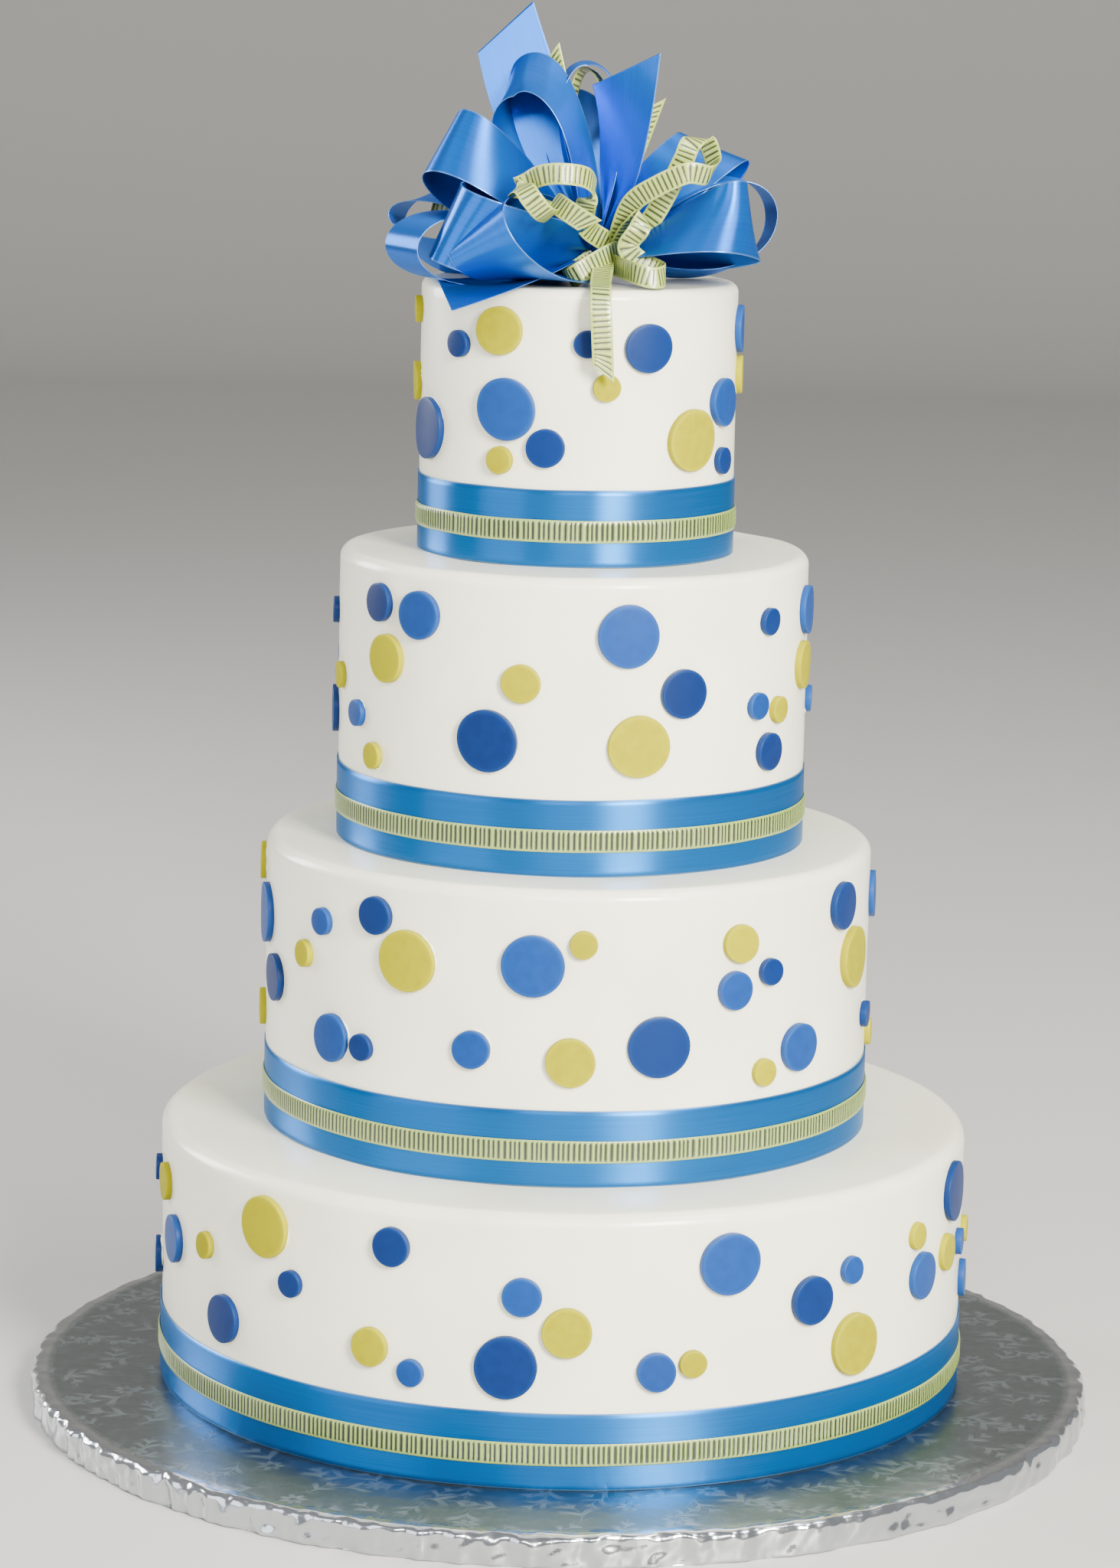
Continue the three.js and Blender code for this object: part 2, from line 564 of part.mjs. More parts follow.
const grosgrainNames = [GROSGRAIN_PIECES, GROSGRAIN_LOOPS, GROSGRAIN_TAILS].flatMap(Object.keys);
for (const name of grosgrainNames) {
  const free = taken.reduce((solid, other) => solid.subtract(other), grosgrainPiece(name, 0));
  cake.add(makeMesh(name, toGeometry(largestBody(free)), GROSGRAIN));
  taken.push(grosgrainPiece(name, CLEARANCE));
}

export default cake;
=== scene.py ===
"""A four-tier wedding cake on a foil-covered drum board, with ribbon bands and a ribbon bow.

Lengths in the dataclasses are millimetres, and a mesh is scaled to metres when it is made.
The origin is at the centre of the board's underside, +Z is up and the front faces -Y.
Angles round the cake are degrees from the front, and positive ones lie towards +X.
"""

from __future__ import annotations

import logging
import math
from dataclasses import dataclass, field, replace
from enum import Enum

import bmesh
import bpy
import numpy as np
from bpy.types import Material, Mesh, Node, NodeSocket, NodeTree, Object
from mathutils import Matrix, Vector

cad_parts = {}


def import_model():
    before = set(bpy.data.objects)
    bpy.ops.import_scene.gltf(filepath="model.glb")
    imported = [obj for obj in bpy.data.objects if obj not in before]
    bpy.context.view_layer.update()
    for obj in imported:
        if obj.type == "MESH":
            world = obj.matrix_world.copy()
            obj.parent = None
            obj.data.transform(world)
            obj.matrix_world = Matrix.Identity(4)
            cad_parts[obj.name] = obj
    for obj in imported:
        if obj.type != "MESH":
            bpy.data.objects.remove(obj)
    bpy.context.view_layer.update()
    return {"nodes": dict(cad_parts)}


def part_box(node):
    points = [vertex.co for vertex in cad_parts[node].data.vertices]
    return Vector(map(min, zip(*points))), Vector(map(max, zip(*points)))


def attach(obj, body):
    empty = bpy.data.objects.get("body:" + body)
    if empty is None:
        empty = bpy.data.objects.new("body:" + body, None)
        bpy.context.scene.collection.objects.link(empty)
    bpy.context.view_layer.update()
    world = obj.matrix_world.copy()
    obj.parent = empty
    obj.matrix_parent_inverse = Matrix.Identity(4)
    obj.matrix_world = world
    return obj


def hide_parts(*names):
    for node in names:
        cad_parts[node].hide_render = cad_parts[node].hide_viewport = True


LOG = logging.getLogger("wedding_cake")
MM = 0.001
BODY = "root"
CLOTH_MAP = "cloth"
MERGE_DISTANCE = 1e-7
# A colour Mix node's factor, its two colours and its result, by number.
FACTOR, FROM, TO, MIXED = 0, 6, 7, 2


# ------------------------------------------------------------------ small helpers


def srgb(hex_colour: str) -> tuple[float, float, float, float]:
    """A linear colour from an sRGB hex value.

    Args:
        hex_colour: six hex digits, such as "1f78c8".

    Returns:
        Red, green, blue and alpha, each from 0 to 1.
    """
    channels = np.array([int(hex_colour[i:i + 2], 16) for i in (0, 2, 4)]) / 255
    linear = np.where(channels <= 0.04045, channels / 12.92, ((channels + 0.055) / 1.055) ** 2.4)
    return (*map(float, linear), 1.0)


def unit(vectors: np.ndarray) -> np.ndarray:
    """The vectors scaled to length one, along the last axis."""
    return vectors / np.maximum(np.linalg.norm(vectors, axis=-1, keepdims=True), 1e-12)


def smoothstep(value: np.ndarray) -> np.ndarray:
    """A smooth ramp that is 0 below 0 and 1 above 1."""
    held = np.clip(value, 0, 1)
    return held * held * (3 - 2 * held)


def turned_about(vectors: np.ndarray, axis: np.ndarray, angles: np.ndarray) -> np.ndarray:
    """Vectors turned about an axis by Rodrigues' formula.

    Args:
        vectors: rows of vectors.
        axis: one unit vector.
        angles: one angle in radians for each row.

    Returns:
        The turned rows.
    """
    cosine = np.cos(angles)[:, None]
    sine = np.sin(angles)[:, None]
    on_axis = (vectors @ axis)[:, None] * axis
    return vectors * cosine + np.cross(axis, vectors) * sine + on_axis * (1 - cosine)


def ripple(points: np.ndarray, wavelength: float, seed: int, waves: int = 7) -> np.ndarray:
    """Smooth unevenness between about -1 and 1: sine waves in seeded directions, added up.

    Args:
        points: an array whose last axis holds coordinates.
        wavelength: the waves' mean length, in the points' unit.
        seed: the seed of the directions and phases.
        waves: how many waves are added.

    Returns:
        One value for each point.
    """
    draw = np.random.default_rng(seed)
    total = np.zeros(points.shape[:-1])
    for _ in range(waves):
        direction = unit(draw.normal(size=points.shape[-1]))
        length = wavelength * draw.uniform(0.7, 1.4)
        total += np.sin(2 * np.pi * (points @ direction) / length + draw.uniform(0, 2 * np.pi))
    return total / math.sqrt(2 * waves)


def creases(points: np.ndarray, size: float, seed: int, folds: int = 6) -> np.ndarray:
    """Sharp folds like those of pressed foil: triangle waves in seeded directions, added up.

    Args:
        points: an array whose last axis holds coordinates.
        size: the folds' mean spacing.
        seed: the seed of the directions.
        folds: how many waves are added.

    Returns:
        One value for each point, about -1 to 1.
    """
    draw = np.random.default_rng(seed)
    total = np.zeros(points.shape[:-1])
    for _ in range(folds):
        direction = unit(draw.normal(size=points.shape[-1]))
        warp = 0.35 * ripple(points, 3 * size, int(draw.integers(10_000)), 3)
        place = (points @ direction) / (size * draw.uniform(0.6, 1.6)) + warp + draw.uniform()
        total += 4 * np.abs(place % 1 - 0.5) - 1
    return total / math.sqrt(folds)


# ------------------------------------------------------------------ meshes


def grid_faces(rows: int, columns: int, wrap: bool = False) -> np.ndarray:
    """The quads of a grid of points stored row by row.

    Args:
        rows: how many rows there are.
        columns: how many points a row has.
        wrap: whether each row's last point joins its first.

    Returns:
        An array of four corner numbers a quad.
    """
    across = np.arange(columns if wrap else columns - 1)
    down = np.arange(rows - 1)[:, None] * columns
    here, beside = down + across, down + (across + 1) % columns
    return np.stack([here, beside, beside + columns, here + columns], -1).reshape(-1, 4)


def make_piece(
    name: str,
    grid: np.ndarray,
    material: Material,
    marks: dict[str, np.ndarray] | None = None,
    cloth: np.ndarray | None = None,
    cap: np.ndarray | None = None,
) -> Object:
    """A smooth mesh object at the origin, with its doubles merged and its faces turned out.

    Args:
        name: the piece's name.
        grid: points in millimetres, (rows, columns, 3) with each row a ring, or several such
            grids in one array.
        material: the finish.
        marks: one float for each point under each attribute name.
        cloth: the place of each point along and across its ribbon, for the UV map.
        cap: quads that close the first ring, and the last one in the same way.

    Returns:
        The new object.
    """
    rows, columns = grid.shape[-3:-1]
    quads = [grid_faces(rows, columns, wrap=True)]
    if cap is not None:
        quads += [cap, cap + (rows - 1) * columns]
    points = grid.reshape(-1, 3)
    starts = np.arange(0, len(points), rows * columns)[:, None, None]
    faces = (np.concatenate(quads) + starts).reshape(-1, 4)
    mesh = bpy.data.meshes.new(name)
    mesh.from_pydata((points * MM).tolist(), [], faces.tolist())
    for label, values in (marks or {}).items():
        layer = mesh.attributes.new(label, "FLOAT", "POINT")
        layer.data.foreach_set("value", np.asarray(values, np.float32).ravel())
    if cloth is not None:
        corners = np.empty(len(mesh.loops), np.int32)
        mesh.loops.foreach_get("vertex_index", corners)
        places = cloth.reshape(-1, 2).astype(np.float32)[corners]
        mesh.uv_layers.new(name=CLOTH_MAP).data.foreach_set("uv", places.ravel())
    work = bmesh.new()
    work.from_mesh(mesh)
    bmesh.ops.remove_doubles(work, verts=work.verts, dist=MERGE_DISTANCE)
    bmesh.ops.recalc_face_normals(work, faces=work.faces)
    work.to_mesh(mesh)
    work.free()
    return show(name, mesh, material)


def show(name: str, mesh: Mesh, material: Material) -> Object:
    """An object in the scene from a mesh, smooth and with its finish.

    Args:
        name: the object's name.
        mesh: its mesh.
        material: its finish.

    Returns:
        The new object.
    """
    mesh.polygons.foreach_set("use_smooth", np.ones(len(mesh.polygons), bool))
    mesh.materials.append(material)
    piece = bpy.data.objects.new(name, mesh)
    bpy.context.scene.collection.objects.link(piece)
    return piece


def settle(piece: Object, nodes: list[str] | tuple[str, ...] = ()) -> None:
    """Lets a piece ride on the cake, hides the CAD nodes it stands for and logs its faces.

    Args:
        piece: the piece.
        nodes: the nodes of the CAD model that it replaces.
    """
    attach(piece, BODY)
    if nodes:
        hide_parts(*nodes)
    LOG.info("%s: %d faces, for %d nodes", piece.name, len(piece.data.polygons), len(nodes))


def around_axis(radius: np.ndarray, angle: np.ndarray, height: np.ndarray) -> np.ndarray:
    """Points (radius sin angle, -radius cos angle, height), with the angle from the front."""
    x, y = radius * np.sin(angle), -radius * np.cos(angle)
    return np.stack(np.broadcast_arrays(x, y, height), -1)


def turned_form(profile: np.ndarray, segments: int) -> np.ndarray:
    """A grid of points on a form turned about the Z axis.

    Args:
        profile: rows of radius and height.
        segments: how many points go round, evenly over the whole turn.

    Returns:
        An array (profile points, segments, 3).
    """
    turn = np.linspace(0, 2 * np.pi, segments, endpoint=False)
    return around_axis(profile[:, :1], turn, profile[:, 1:])


# ------------------------------------------------------------------ materials


def per_metre(size_mm: float) -> float:
    """The scale of a pattern whose parts are this many millimetres wide."""
    return 1 / (size_mm * MM)


def set_up(node: Node, values: dict[str | int, object]) -> None:
    """Gives a node its settings and links.

    Args:
        node: the node.
        values: its properties and inputs by name or number, and the stops of a colour ramp.
            A socket among them is linked, and a node by its first output.
    """
    for key, value in values.items():
        if isinstance(value, Node):
            value = value.outputs[0]
        if isinstance(value, NodeSocket):
            node.id_data.links.new(value, node.inputs[key])
        elif key == "stops":
            elements = node.color_ramp.elements
            while len(elements) < len(value):
                elements.new(0.5)
            for element, (place, colour) in zip(elements, value):
                element.position = place
                element.color = srgb(colour)
        elif isinstance(key, str) and hasattr(node, key):
            setattr(node, key, value)
        else:
            node.inputs[key].default_value = value


def add_node(tree: NodeTree, kind: str,
             values: dict[str | int, object] | list[object] | None = None) -> Node:
    """A shader node with its settings and links.

    Args:
        tree: the material's node tree.
        kind: the node's type after "ShaderNode", and after a blank its operation.
        values: what it is set up with, by name or number, or its inputs in order.

    Returns:
        The new node.
    """
    kind, _, operation = kind.partition(" ")
    node = tree.nodes.new("ShaderNode" + kind)
    if operation:
        node.operation = operation
    set_up(node, dict(enumerate(values)) if isinstance(values, list) else values or {})
    return node


def start_material(name: str) -> tuple[Material, NodeTree, Node]:
    """A material with its Principled shader.

    Args:
        name: the material's name.

    Returns:
        The material, its node tree and the shader node.
    """
    material = bpy.data.materials.new(name)
    material.use_nodes = True
    tree = material.node_tree
    return material, tree, tree.nodes["Principled BSDF"]


@dataclass(frozen=True)
class RolledFondant:
    """Rolled sugar icing: a warm white with a soft sheen and a little light inside it."""

    colour: str = "f3f2de"
    shade: str = "ebe8d0"
    pit_tint: str = "b9ac93"
    shade_at: float = 0.3
    colour_at: float = 0.6
    roughness: float = 0.3
    ior: float = 1.46
    gloss: float = 0.3
    gloss_roughness: float = 0.12
    glow: float = 0.12
    glow_m: tuple[float, float, float] = (0.006, 0.005, 0.004)
    patch_mm: float = 70.0
    pit_spacing_mm: float = 34.0
    pit_mm: float = 0.45
    pit_core: float = 0.4
    pit_depth: float = 1.4
    wave_mm: float = 9.0
    bump: float = 0.12
    bump_mm: float = 0.4

    def make(self, name: str = "rolled_fondant") -> Material:
        """The material: faint cloudy colour, pin-pricks tinted darker and browner, and a smoothing
        tool's soft waves.

        Args:
            name: the material's name.

        Returns:
            The material.
        """
        material, tree, shader = start_material(name)
        place = add_node(tree, "TexCoord").outputs["Object"]
        cloud = add_node(tree, "TexNoise", {"Scale": per_metre(self.patch_mm), "Detail": 3.0,
                                            "Vector": place})
        pits = add_node(tree, "TexVoronoi", {"Scale": per_metre(self.pit_spacing_mm),
                                             "Vector": place})
        edge = self.pit_mm / self.pit_spacing_mm
        pit = add_node(tree, "MapRange", {"From Min": edge, "From Max": edge * self.pit_core,
                                          "Value": pits})
        stops = [(self.shade_at, self.shade), (self.colour_at, self.colour)]
        base = add_node(tree, "ValToRGB", {"stops": stops, "Fac": cloud})
        # The pin-pricks take the darker, browner pit tint.
        tinted = add_node(tree, "Mix", {"data_type": "RGBA", FACTOR: pit, FROM: base,
                                        TO: srgb(self.pit_tint)})
        waves = add_node(tree, "TexNoise", {"Scale": per_metre(self.wave_mm), "Detail": 4.0,
                                            "Vector": place})
        height = add_node(tree, "Math MULTIPLY_ADD", [pit, -self.pit_depth, waves])
        bump = add_node(tree, "Bump", {"Strength": self.bump, "Distance": self.bump_mm * MM,
                                       "Height": height})
        set_up(shader, {
            "Roughness": self.roughness, "IOR": self.ior, "Specular IOR Level": 0.5,
            "Subsurface Weight": self.glow, "Subsurface Radius": self.glow_m,
            "Subsurface Scale": 0.5, "Coat Weight": self.gloss,
            "Coat Roughness": self.gloss_roughness,
            "Base Color": tinted.outputs[MIXED], "Normal": bump})
        return material


@dataclass(frozen=True)
class SugarPaste:
    """Coloured sugar paste, cut with a round cutter: matt face, and a rim made paler by a painted
    highlight.
    """

    name: str
    face: str
    shade: str
    # The rim colour is a painted highlight, paler than the face.
    rim: str
    sheen: float = 0.2
    shade_at: float = 0.25
    face_at: float = 0.7
    roughness: float = 0.42
    ior: float = 1.46
    glow: float = 0.05
    glow_m: tuple[float, float, float] = (0.004, 0.004, 0.004)
    mottle_mm: float = 5.0
    grain_mm: float = 1.3
    tint_share: float = 0.28
    rim_highlight_share: float = 0.45
    bump: float = 0.12
    bump_mm: float = 0.25

    def make(self) -> Material:
        """The material: mottled colour, a tint for each dot, a painted highlight on the rim and a
        fine grain.

        Returns:
            The material.
        """
        material, tree, shader = start_material(self.name)
        place = add_node(tree, "TexCoord").outputs["Object"]
        mottle = add_node(tree, "TexNoise", {"Scale": per_metre(self.mottle_mm), "Detail": 5.0,
                                             "Vector": place})
        tint = add_node(tree, "Attribute", {"attribute_name": "tint"}).outputs["Fac"]
        blend = add_node(tree, "Math MULTIPLY_ADD", [tint, self.tint_share, mottle])
        stops = [(self.shade_at, self.shade), (self.face_at, self.face)]
        base = add_node(tree, "ValToRGB", {"stops": stops, "Fac": blend})
        # Painted highlight: the rim mark makes the rounded rim paler.
        rim = add_node(tree, "Attribute", {"attribute_name": "rim"}).outputs["Fac"]
        edge = add_node(tree, "MapRange", {"To Max": self.rim_highlight_share, "Value": rim})
        stitches_and_rim_highlight = add_node(tree, "Mix", {"data_type": "RGBA", FACTOR: edge, FROM: base,
                                      TO: srgb(self.rim)})
        grain = add_node(tree, "TexNoise", {"Scale": per_metre(self.grain_mm), "Detail": 3.0,
                                            "Vector": place})
        bump = add_node(tree, "Bump", {"Strength": self.bump, "Distance": self.bump_mm * MM,
                                       "Height": grain})
        set_up(shader, {
            "Roughness": self.roughness, "IOR": self.ior, "Specular IOR Level": self.sheen,
            "Subsurface Weight": self.glow, "Subsurface Radius": self.glow_m,
            "Subsurface Scale": 0.3, "Base Color": stitches_and_rim_highlight.outputs[MIXED], "Normal": bump})
        return material


@dataclass(frozen=True)
class WovenSatin:
    """Polyester satin ribbon: long warp floats give it a bright streak across the ribbon."""

    name: str
    colour: str
    shade: str
    roughness: float = 0.42
    anisotropy: float = 0.9
    metallic: float = 0.6
    gloss: float = 0.0
    gloss_roughness: float = 0.32
    ior: float = 1.52
    shade_at: float = 0.3
    colour_at: float = 0.65
    glint: str = "a4d2ff"
    thread: str = "8fb4de"
    # The warp is about 0.1 mm apart, drawn four times as coarse so that it shows.
    warp_mm: float = 0.4
    float_mm: float = 60.0
    stitch_mm: float = 0.85
    stitch_inset_mm: tuple[float, float] = (0.75, 0.35)
    # Where between two stitches, as a share of their distance, a stitch begins and is full.
    stitch_gap: tuple[float, float] = (0.16, 0.34)
    stitch_share: float = 0.7
    stitch_height: float = 1.5
    half_width_mm: float = 19.0
    bump: float = 0.05
    bump_mm: float = 0.12

    def make(self) -> Material:
        """The material: streaked warp, a stitched edge and an anisotropic sheen.

        Returns:
            The material.
        """
        material, tree, shader = start_material(self.name)
        cloth = add_node(tree, "UVMap", {"uv_map": CLOTH_MAP})
        axes = add_node(tree, "SeparateXYZ", [cloth])
        streak = add_node(tree, "Mapping", {"Scale": (1 / self.float_mm, 1 / self.warp_mm, 1.0),
                                            "Vector": cloth})
        warp = add_node(tree, "TexNoise", {"Scale": 1.0, "Detail": 2.0, "Vector": streak})
        stops = [(self.shade_at, self.shade), (self.colour_at, self.colour)]
        base = add_node(tree, "ValToRGB", {"stops": stops, "Fac": warp})
        far = add_node(tree, "Math ABSOLUTE", [axes.outputs["Y"]])
        plain, full = (self.half_width_mm - inset for inset in self.stitch_inset_mm)
        edge = add_node(tree, "MapRange", {"From Min": plain, "From Max": full, "Value": far})
        beat = add_node(tree, "Math MULTIPLY", [axes.outputs["X"], 1 / self.stitch_mm])
        dash = add_node(tree, "Math PINGPONG", [beat, 0.5])
        begun, whole = self.stitch_gap
        knot = add_node(tree, "MapRange", {"From Min": begun, "From Max": whole, "Value": dash})
        stitch = add_node(tree, "Math MULTIPLY", [edge, knot])
        pale = add_node(tree, "Math MULTIPLY", [stitch, self.stitch_share])
        stitches_and_rim_highlight = add_node(tree, "Mix", {"data_type": "RGBA", FACTOR: pale, FROM: base,
                                      TO: srgb(self.thread)})
        relief = add_node(tree, "Math MULTIPLY_ADD", [stitch, self.stitch_height, warp])
        bump = add_node(tree, "Bump", {"Strength": self.bump, "Distance": self.bump_mm * MM,
                                       "Height": relief})
        length = add_node(tree, "Tangent", {"direction_type": "UV_MAP", "uv_map": CLOTH_MAP})
        set_up(shader, {
            "Roughness": self.roughness, "IOR": self.ior, "Specular IOR Level": 0.75,
            "Specular Tint": srgb(self.glint), "Metallic": self.metallic,
            "Anisotropic": self.anisotropy, "Anisotropic Rotation": 0.25,
            "Coat Weight": self.gloss, "Coat Roughness": self.gloss_roughness,
            "Base Color": stitches_and_rim_highlight.outputs[MIXED], "Normal": bump, "Tangent": length})
        return material


@dataclass(frozen=True)
class RibbedGrosgrain:
    """Grosgrain ribbon: stout ribs across it, with shiny crests lightened by a painted highlight,
    grooves darkened by painted shade, and a flat woven edge.
    """

    name: str
    # The crest and groove colours are a painted highlight and painted shade of the middle colour.
    painted_crest_highlight: str = "a3b159"
    middle: str = "667634"
    painted_groove_shade: str = "0e1402"
    groove_at: float = 0.3
    middle_at: float = 0.65
    crest_at: float = 0.95
    roughness: float = 0.3
    ior: float = 1.52
    thread_mm: float = 0.45
    thread_length: float = 5.0
    thread_share: float = 0.3
    bump: float = 0.3
    bump_mm: float = 0.12

    def make(self) -> Material:
        """The material: a painted highlight on the crests, painted shade in the olive grooves, and
        fine threads along each rib.

        Returns:
            The material.
        """
        material, tree, shader = start_material(self.name)
        rib = add_node(tree, "Attribute", {"attribute_name": "rib"}).outputs["Fac"]
        cloth = add_node(tree, "UVMap", {"uv_map": CLOTH_MAP})
        scale = (1 / self.thread_mm, 1 / (self.thread_mm * self.thread_length), 1.0)
        fine = add_node(tree, "Mapping", {"Scale": scale, "Vector": cloth})
        thread = add_node(tree, "TexNoise", {"Scale": 1.0, "Detail": 2.0, "Vector": fine})
        mixed = add_node(tree, "Math MULTIPLY_ADD", [thread, self.thread_share, rib])
        level = add_node(tree, "Math SUBTRACT", [mixed, self.thread_share / 2])
        # The rib mark paints shade into the grooves and a highlight onto the crests.
        stops = [(self.groove_at, self.painted_groove_shade), (self.middle_at, self.middle),
                 (self.crest_at, self.painted_crest_highlight)]
        base = add_node(tree, "ValToRGB", {"stops": stops, "Fac": level})
        bump = add_node(tree, "Bump", {"Strength": self.bump, "Distance": self.bump_mm * MM,
                                       "Height": thread})
        set_up(shader, {"Roughness": self.roughness, "IOR": self.ior, "Specular IOR Level": 0.9,
                        "Base Color": base, "Normal": bump})
        return material


@dataclass(frozen=True)
class EmbossedFoil:
    """Thin aluminium foil over board: bright, with matt embossed leaves, pressed creases and an
    edge painted paler as a painted reflection.
    """

    name: str = "embossed_foil"
    bright: str = "7e8587"
    leaf: str = "969fa2"
    # Painted reflection: the edge colour is paler than the top, standing in for the pale floor it
    # faces.
    edge: str = "bfc2c6"
    roughness: float = 0.32
    leaf_roughness: float = 0.4
    edge_roughness: float = 0.17
    frond_mm: tuple[float, ...] = (29.0, 38.0)
    flower_mm: float = 48.0
    cloud_mm: float = 7.0
    facet_mm: float = 11.0
    facet_warp_mm: float = 16.0
    facet_push_mm: float = 14.0
    facet_height: float = 4.0
    uneven: float = 0.8
    bump: float = 0.35
    bump_mm: float = 0.3
    scatter: float = 3.7
    flower_scatter: float = 9.1
    # The figures' own measures are shares of the cell that each one lies in.
    stem_bend: float = 1.2
    stem_half: float = 0.03
    leaf_beat: float = 21.0
    leaf_slant: float = 0.55
    leaf_level: float = 0.05
    spindle_half: float = 0.27
    spindle_taper: float = 1.3
    petal_turns: float = 3.5
    petal: float = 0.08
    eye: float = 0.035
    # How steeply each figure's rim rises; the lower, the softer.
    leaf_rim: float = 1.8
    spindle_rim: float = 7.0
    stem_rim: float = 24.0
    petal_rim: float = 25.0
    eye_rim: float = 40.0

    def local(self, tree: NodeTree, cell_mm: float, seed: float) -> tuple[NodeSocket, ...]:
        """Coordinates inside scattered cells, each turned its own way.

        Args:
            tree: the material's node tree.
            cell_mm: the mean distance between the cells.
            seed: shifts the whole scatter.

        Returns:
            The two coordinates, as shares of the cell, and a random value of the cell.
        """
        place = add_node(tree, "TexCoord").outputs["Object"]
        scale = per_metre(cell_mm)
        grid = add_node(tree, "Mapping", {"Location": (seed, seed * 0.7, 0.0),
                                          "Scale": (scale, scale, 0.0), "Vector": place})
        cells = add_node(tree, "TexVoronoi", {"voronoi_dimensions": "2D", "Scale": 1.0,
                                              "Vector": grid})
        offset = add_node(tree, "VectorMath SUBTRACT", [grid, cells.outputs["Position"]])
        chance = add_node(tree, "SeparateColor", [cells.outputs["Color"]])
        angle = add_node(tree, "Math MULTIPLY", [chance.outputs["Red"], 2 * math.pi])
        turned = add_node(tree, "VectorRotate", {"rotation_type": "Z_AXIS", "Vector": offset,
                                                 "Angle": angle})
        axes = add_node(tree, "SeparateXYZ", [turned])
        return axes.outputs["X"], axes.outputs["Y"], chance.outputs["Green"]

    def frond(self, tree: NodeTree, cell_mm: float, seed: float) -> Node:
        """Curved sprays: a bent stem with a few rounded leaves that sweep towards its tip.

        The stem bends as the square of the way along it. A leaf is where a wave, slanted
        ever more with the distance from the stem, is high within a spindle about the stem.

        Args:
            tree: the material's node tree.
            cell_mm: the length of a frond.
            seed: shifts the scatter.

        Returns:
            The node with the figure, 0 or 1 with a soft rim.
        """
        x, y, chance = self.local(tree, cell_mm, seed)
        bend = add_node(tree, "Math MULTIPLY_ADD", [chance, 2 * self.stem_bend, -self.stem_bend])
        square = add_node(tree, "Math MULTIPLY", [x, x])
        stem = add_node(tree, "Math MULTIPLY", [square, bend])
        aside = add_node(tree, "Math ABSOLUTE", [add_node(tree, "Math SUBTRACT", [y, stem])])
        root = add_node(tree, "Math SQRT", [add_node(tree, "Math ADD", [aside, 0.01])])
        sweep = add_node(tree, "Math MULTIPLY", [root, self.leaf_slant])
        slanted = add_node(tree, "Math SUBTRACT", [x, sweep])
        beat = add_node(tree, "Math MULTIPLY", [slanted, self.leaf_beat])
        wave = add_node(tree, "Math SINE", [beat])
        spindle = add_node(tree, "Math MULTIPLY_ADD",
                           [square, -self.spindle_taper, self.spindle_half])
        inside = self.soft_rim(tree, spindle, aside, self.spindle_rim)
        leaflet = self.soft_rim(tree, wave, self.leaf_level, self.leaf_rim)
        stalk = self.soft_rim(tree, self.stem_half, aside, self.stem_rim)
        body = add_node(tree, "Math MAXIMUM", [leaflet, stalk])
        return add_node(tree, "Math MINIMUM", {"use_clamp": True, 0: body, 1: inside})

    def soft_rim(self, tree: NodeTree, inner: object, outer: object, sharpness: float) -> Node:
        """The first measure less the second, times a sharpness: above 0 inside a figure."""
        depth = add_node(tree, "Math SUBTRACT", [inner, outer])
        return add_node(tree, "Math MULTIPLY", [depth, sharpness])

    def flower(self, tree: NodeTree, cell_mm: float, seed: float) -> Node:
        """Small flowers: the petals' tips follow the absolute sine of three and a half turns.

        Args:
            tree: the material's node tree.
            cell_mm: the mean distance between flowers.
            seed: shifts the scatter.

        Returns:
            The node with the figure, 0 or 1 with a soft rim.
        """
        x, y, _ = self.local(tree, cell_mm, seed)
        angle = add_node(tree, "Math ARCTAN2", [y, x])
        squares = [add_node(tree, "Math MULTIPLY", [side, side]) for side in (x, y)]
        reach = add_node(tree, "Math SQRT", [add_node(tree, "Math ADD", squares)])
        wave = add_node(tree, "Math SINE", [add_node(tree, "Math MULTIPLY",
                                                     [angle, self.petal_turns])])
        lobe = add_node(tree, "Math ABSOLUTE", [wave])
        tip = add_node(tree, "Math MULTIPLY_ADD", [lobe, self.petal, self.petal])
        inside = self.soft_rim(tree, tip, reach, self.petal_rim)
        ring = self.soft_rim(tree, reach, self.eye, self.eye_rim)
        return add_node(tree, "Math MINIMUM", {"use_clamp": True, 0: inside, 1: ring})

    def make(self) -> Material:
        """The material: the leaves make the flat foil paler and matt; its edge is creased and
        painted paler, a painted reflection of the pale floor in front.

        Returns:
            The material.
        """
        material, tree, shader = start_material(self.name)
        flat = add_node(tree, "Attribute", {"attribute_name": "flat"}).outputs["Fac"]
        place = add_node(tree, "TexCoord").outputs["Object"]
        leaves = add_node(tree, "Math MAXIMUM", [
            self.frond(tree, cell, self.scatter * number)
            for number, cell in enumerate(self.frond_mm, 1)])
        flowers = self.flower(tree, self.flower_mm, self.flower_scatter)
        figure = add_node(tree, "Math MAXIMUM", [leaves, flowers])
        cloud = add_node(tree, "TexNoise", {"Scale": per_metre(self.cloud_mm), "Detail": 6.0,
                                            "Vector": place})
        uneven = add_node(tree, "Math MULTIPLY_ADD", [cloud, 2 * self.uneven, -self.uneven])
        clouded = add_node(tree, "Math ADD", [figure, uneven])
        figure = add_node(tree, "Math MULTIPLY", [clouded, flat])
        top = add_node(tree, "Mix", {"data_type": "RGBA", FACTOR: figure,
                                     FROM: srgb(self.bright), TO: srgb(self.leaf)})
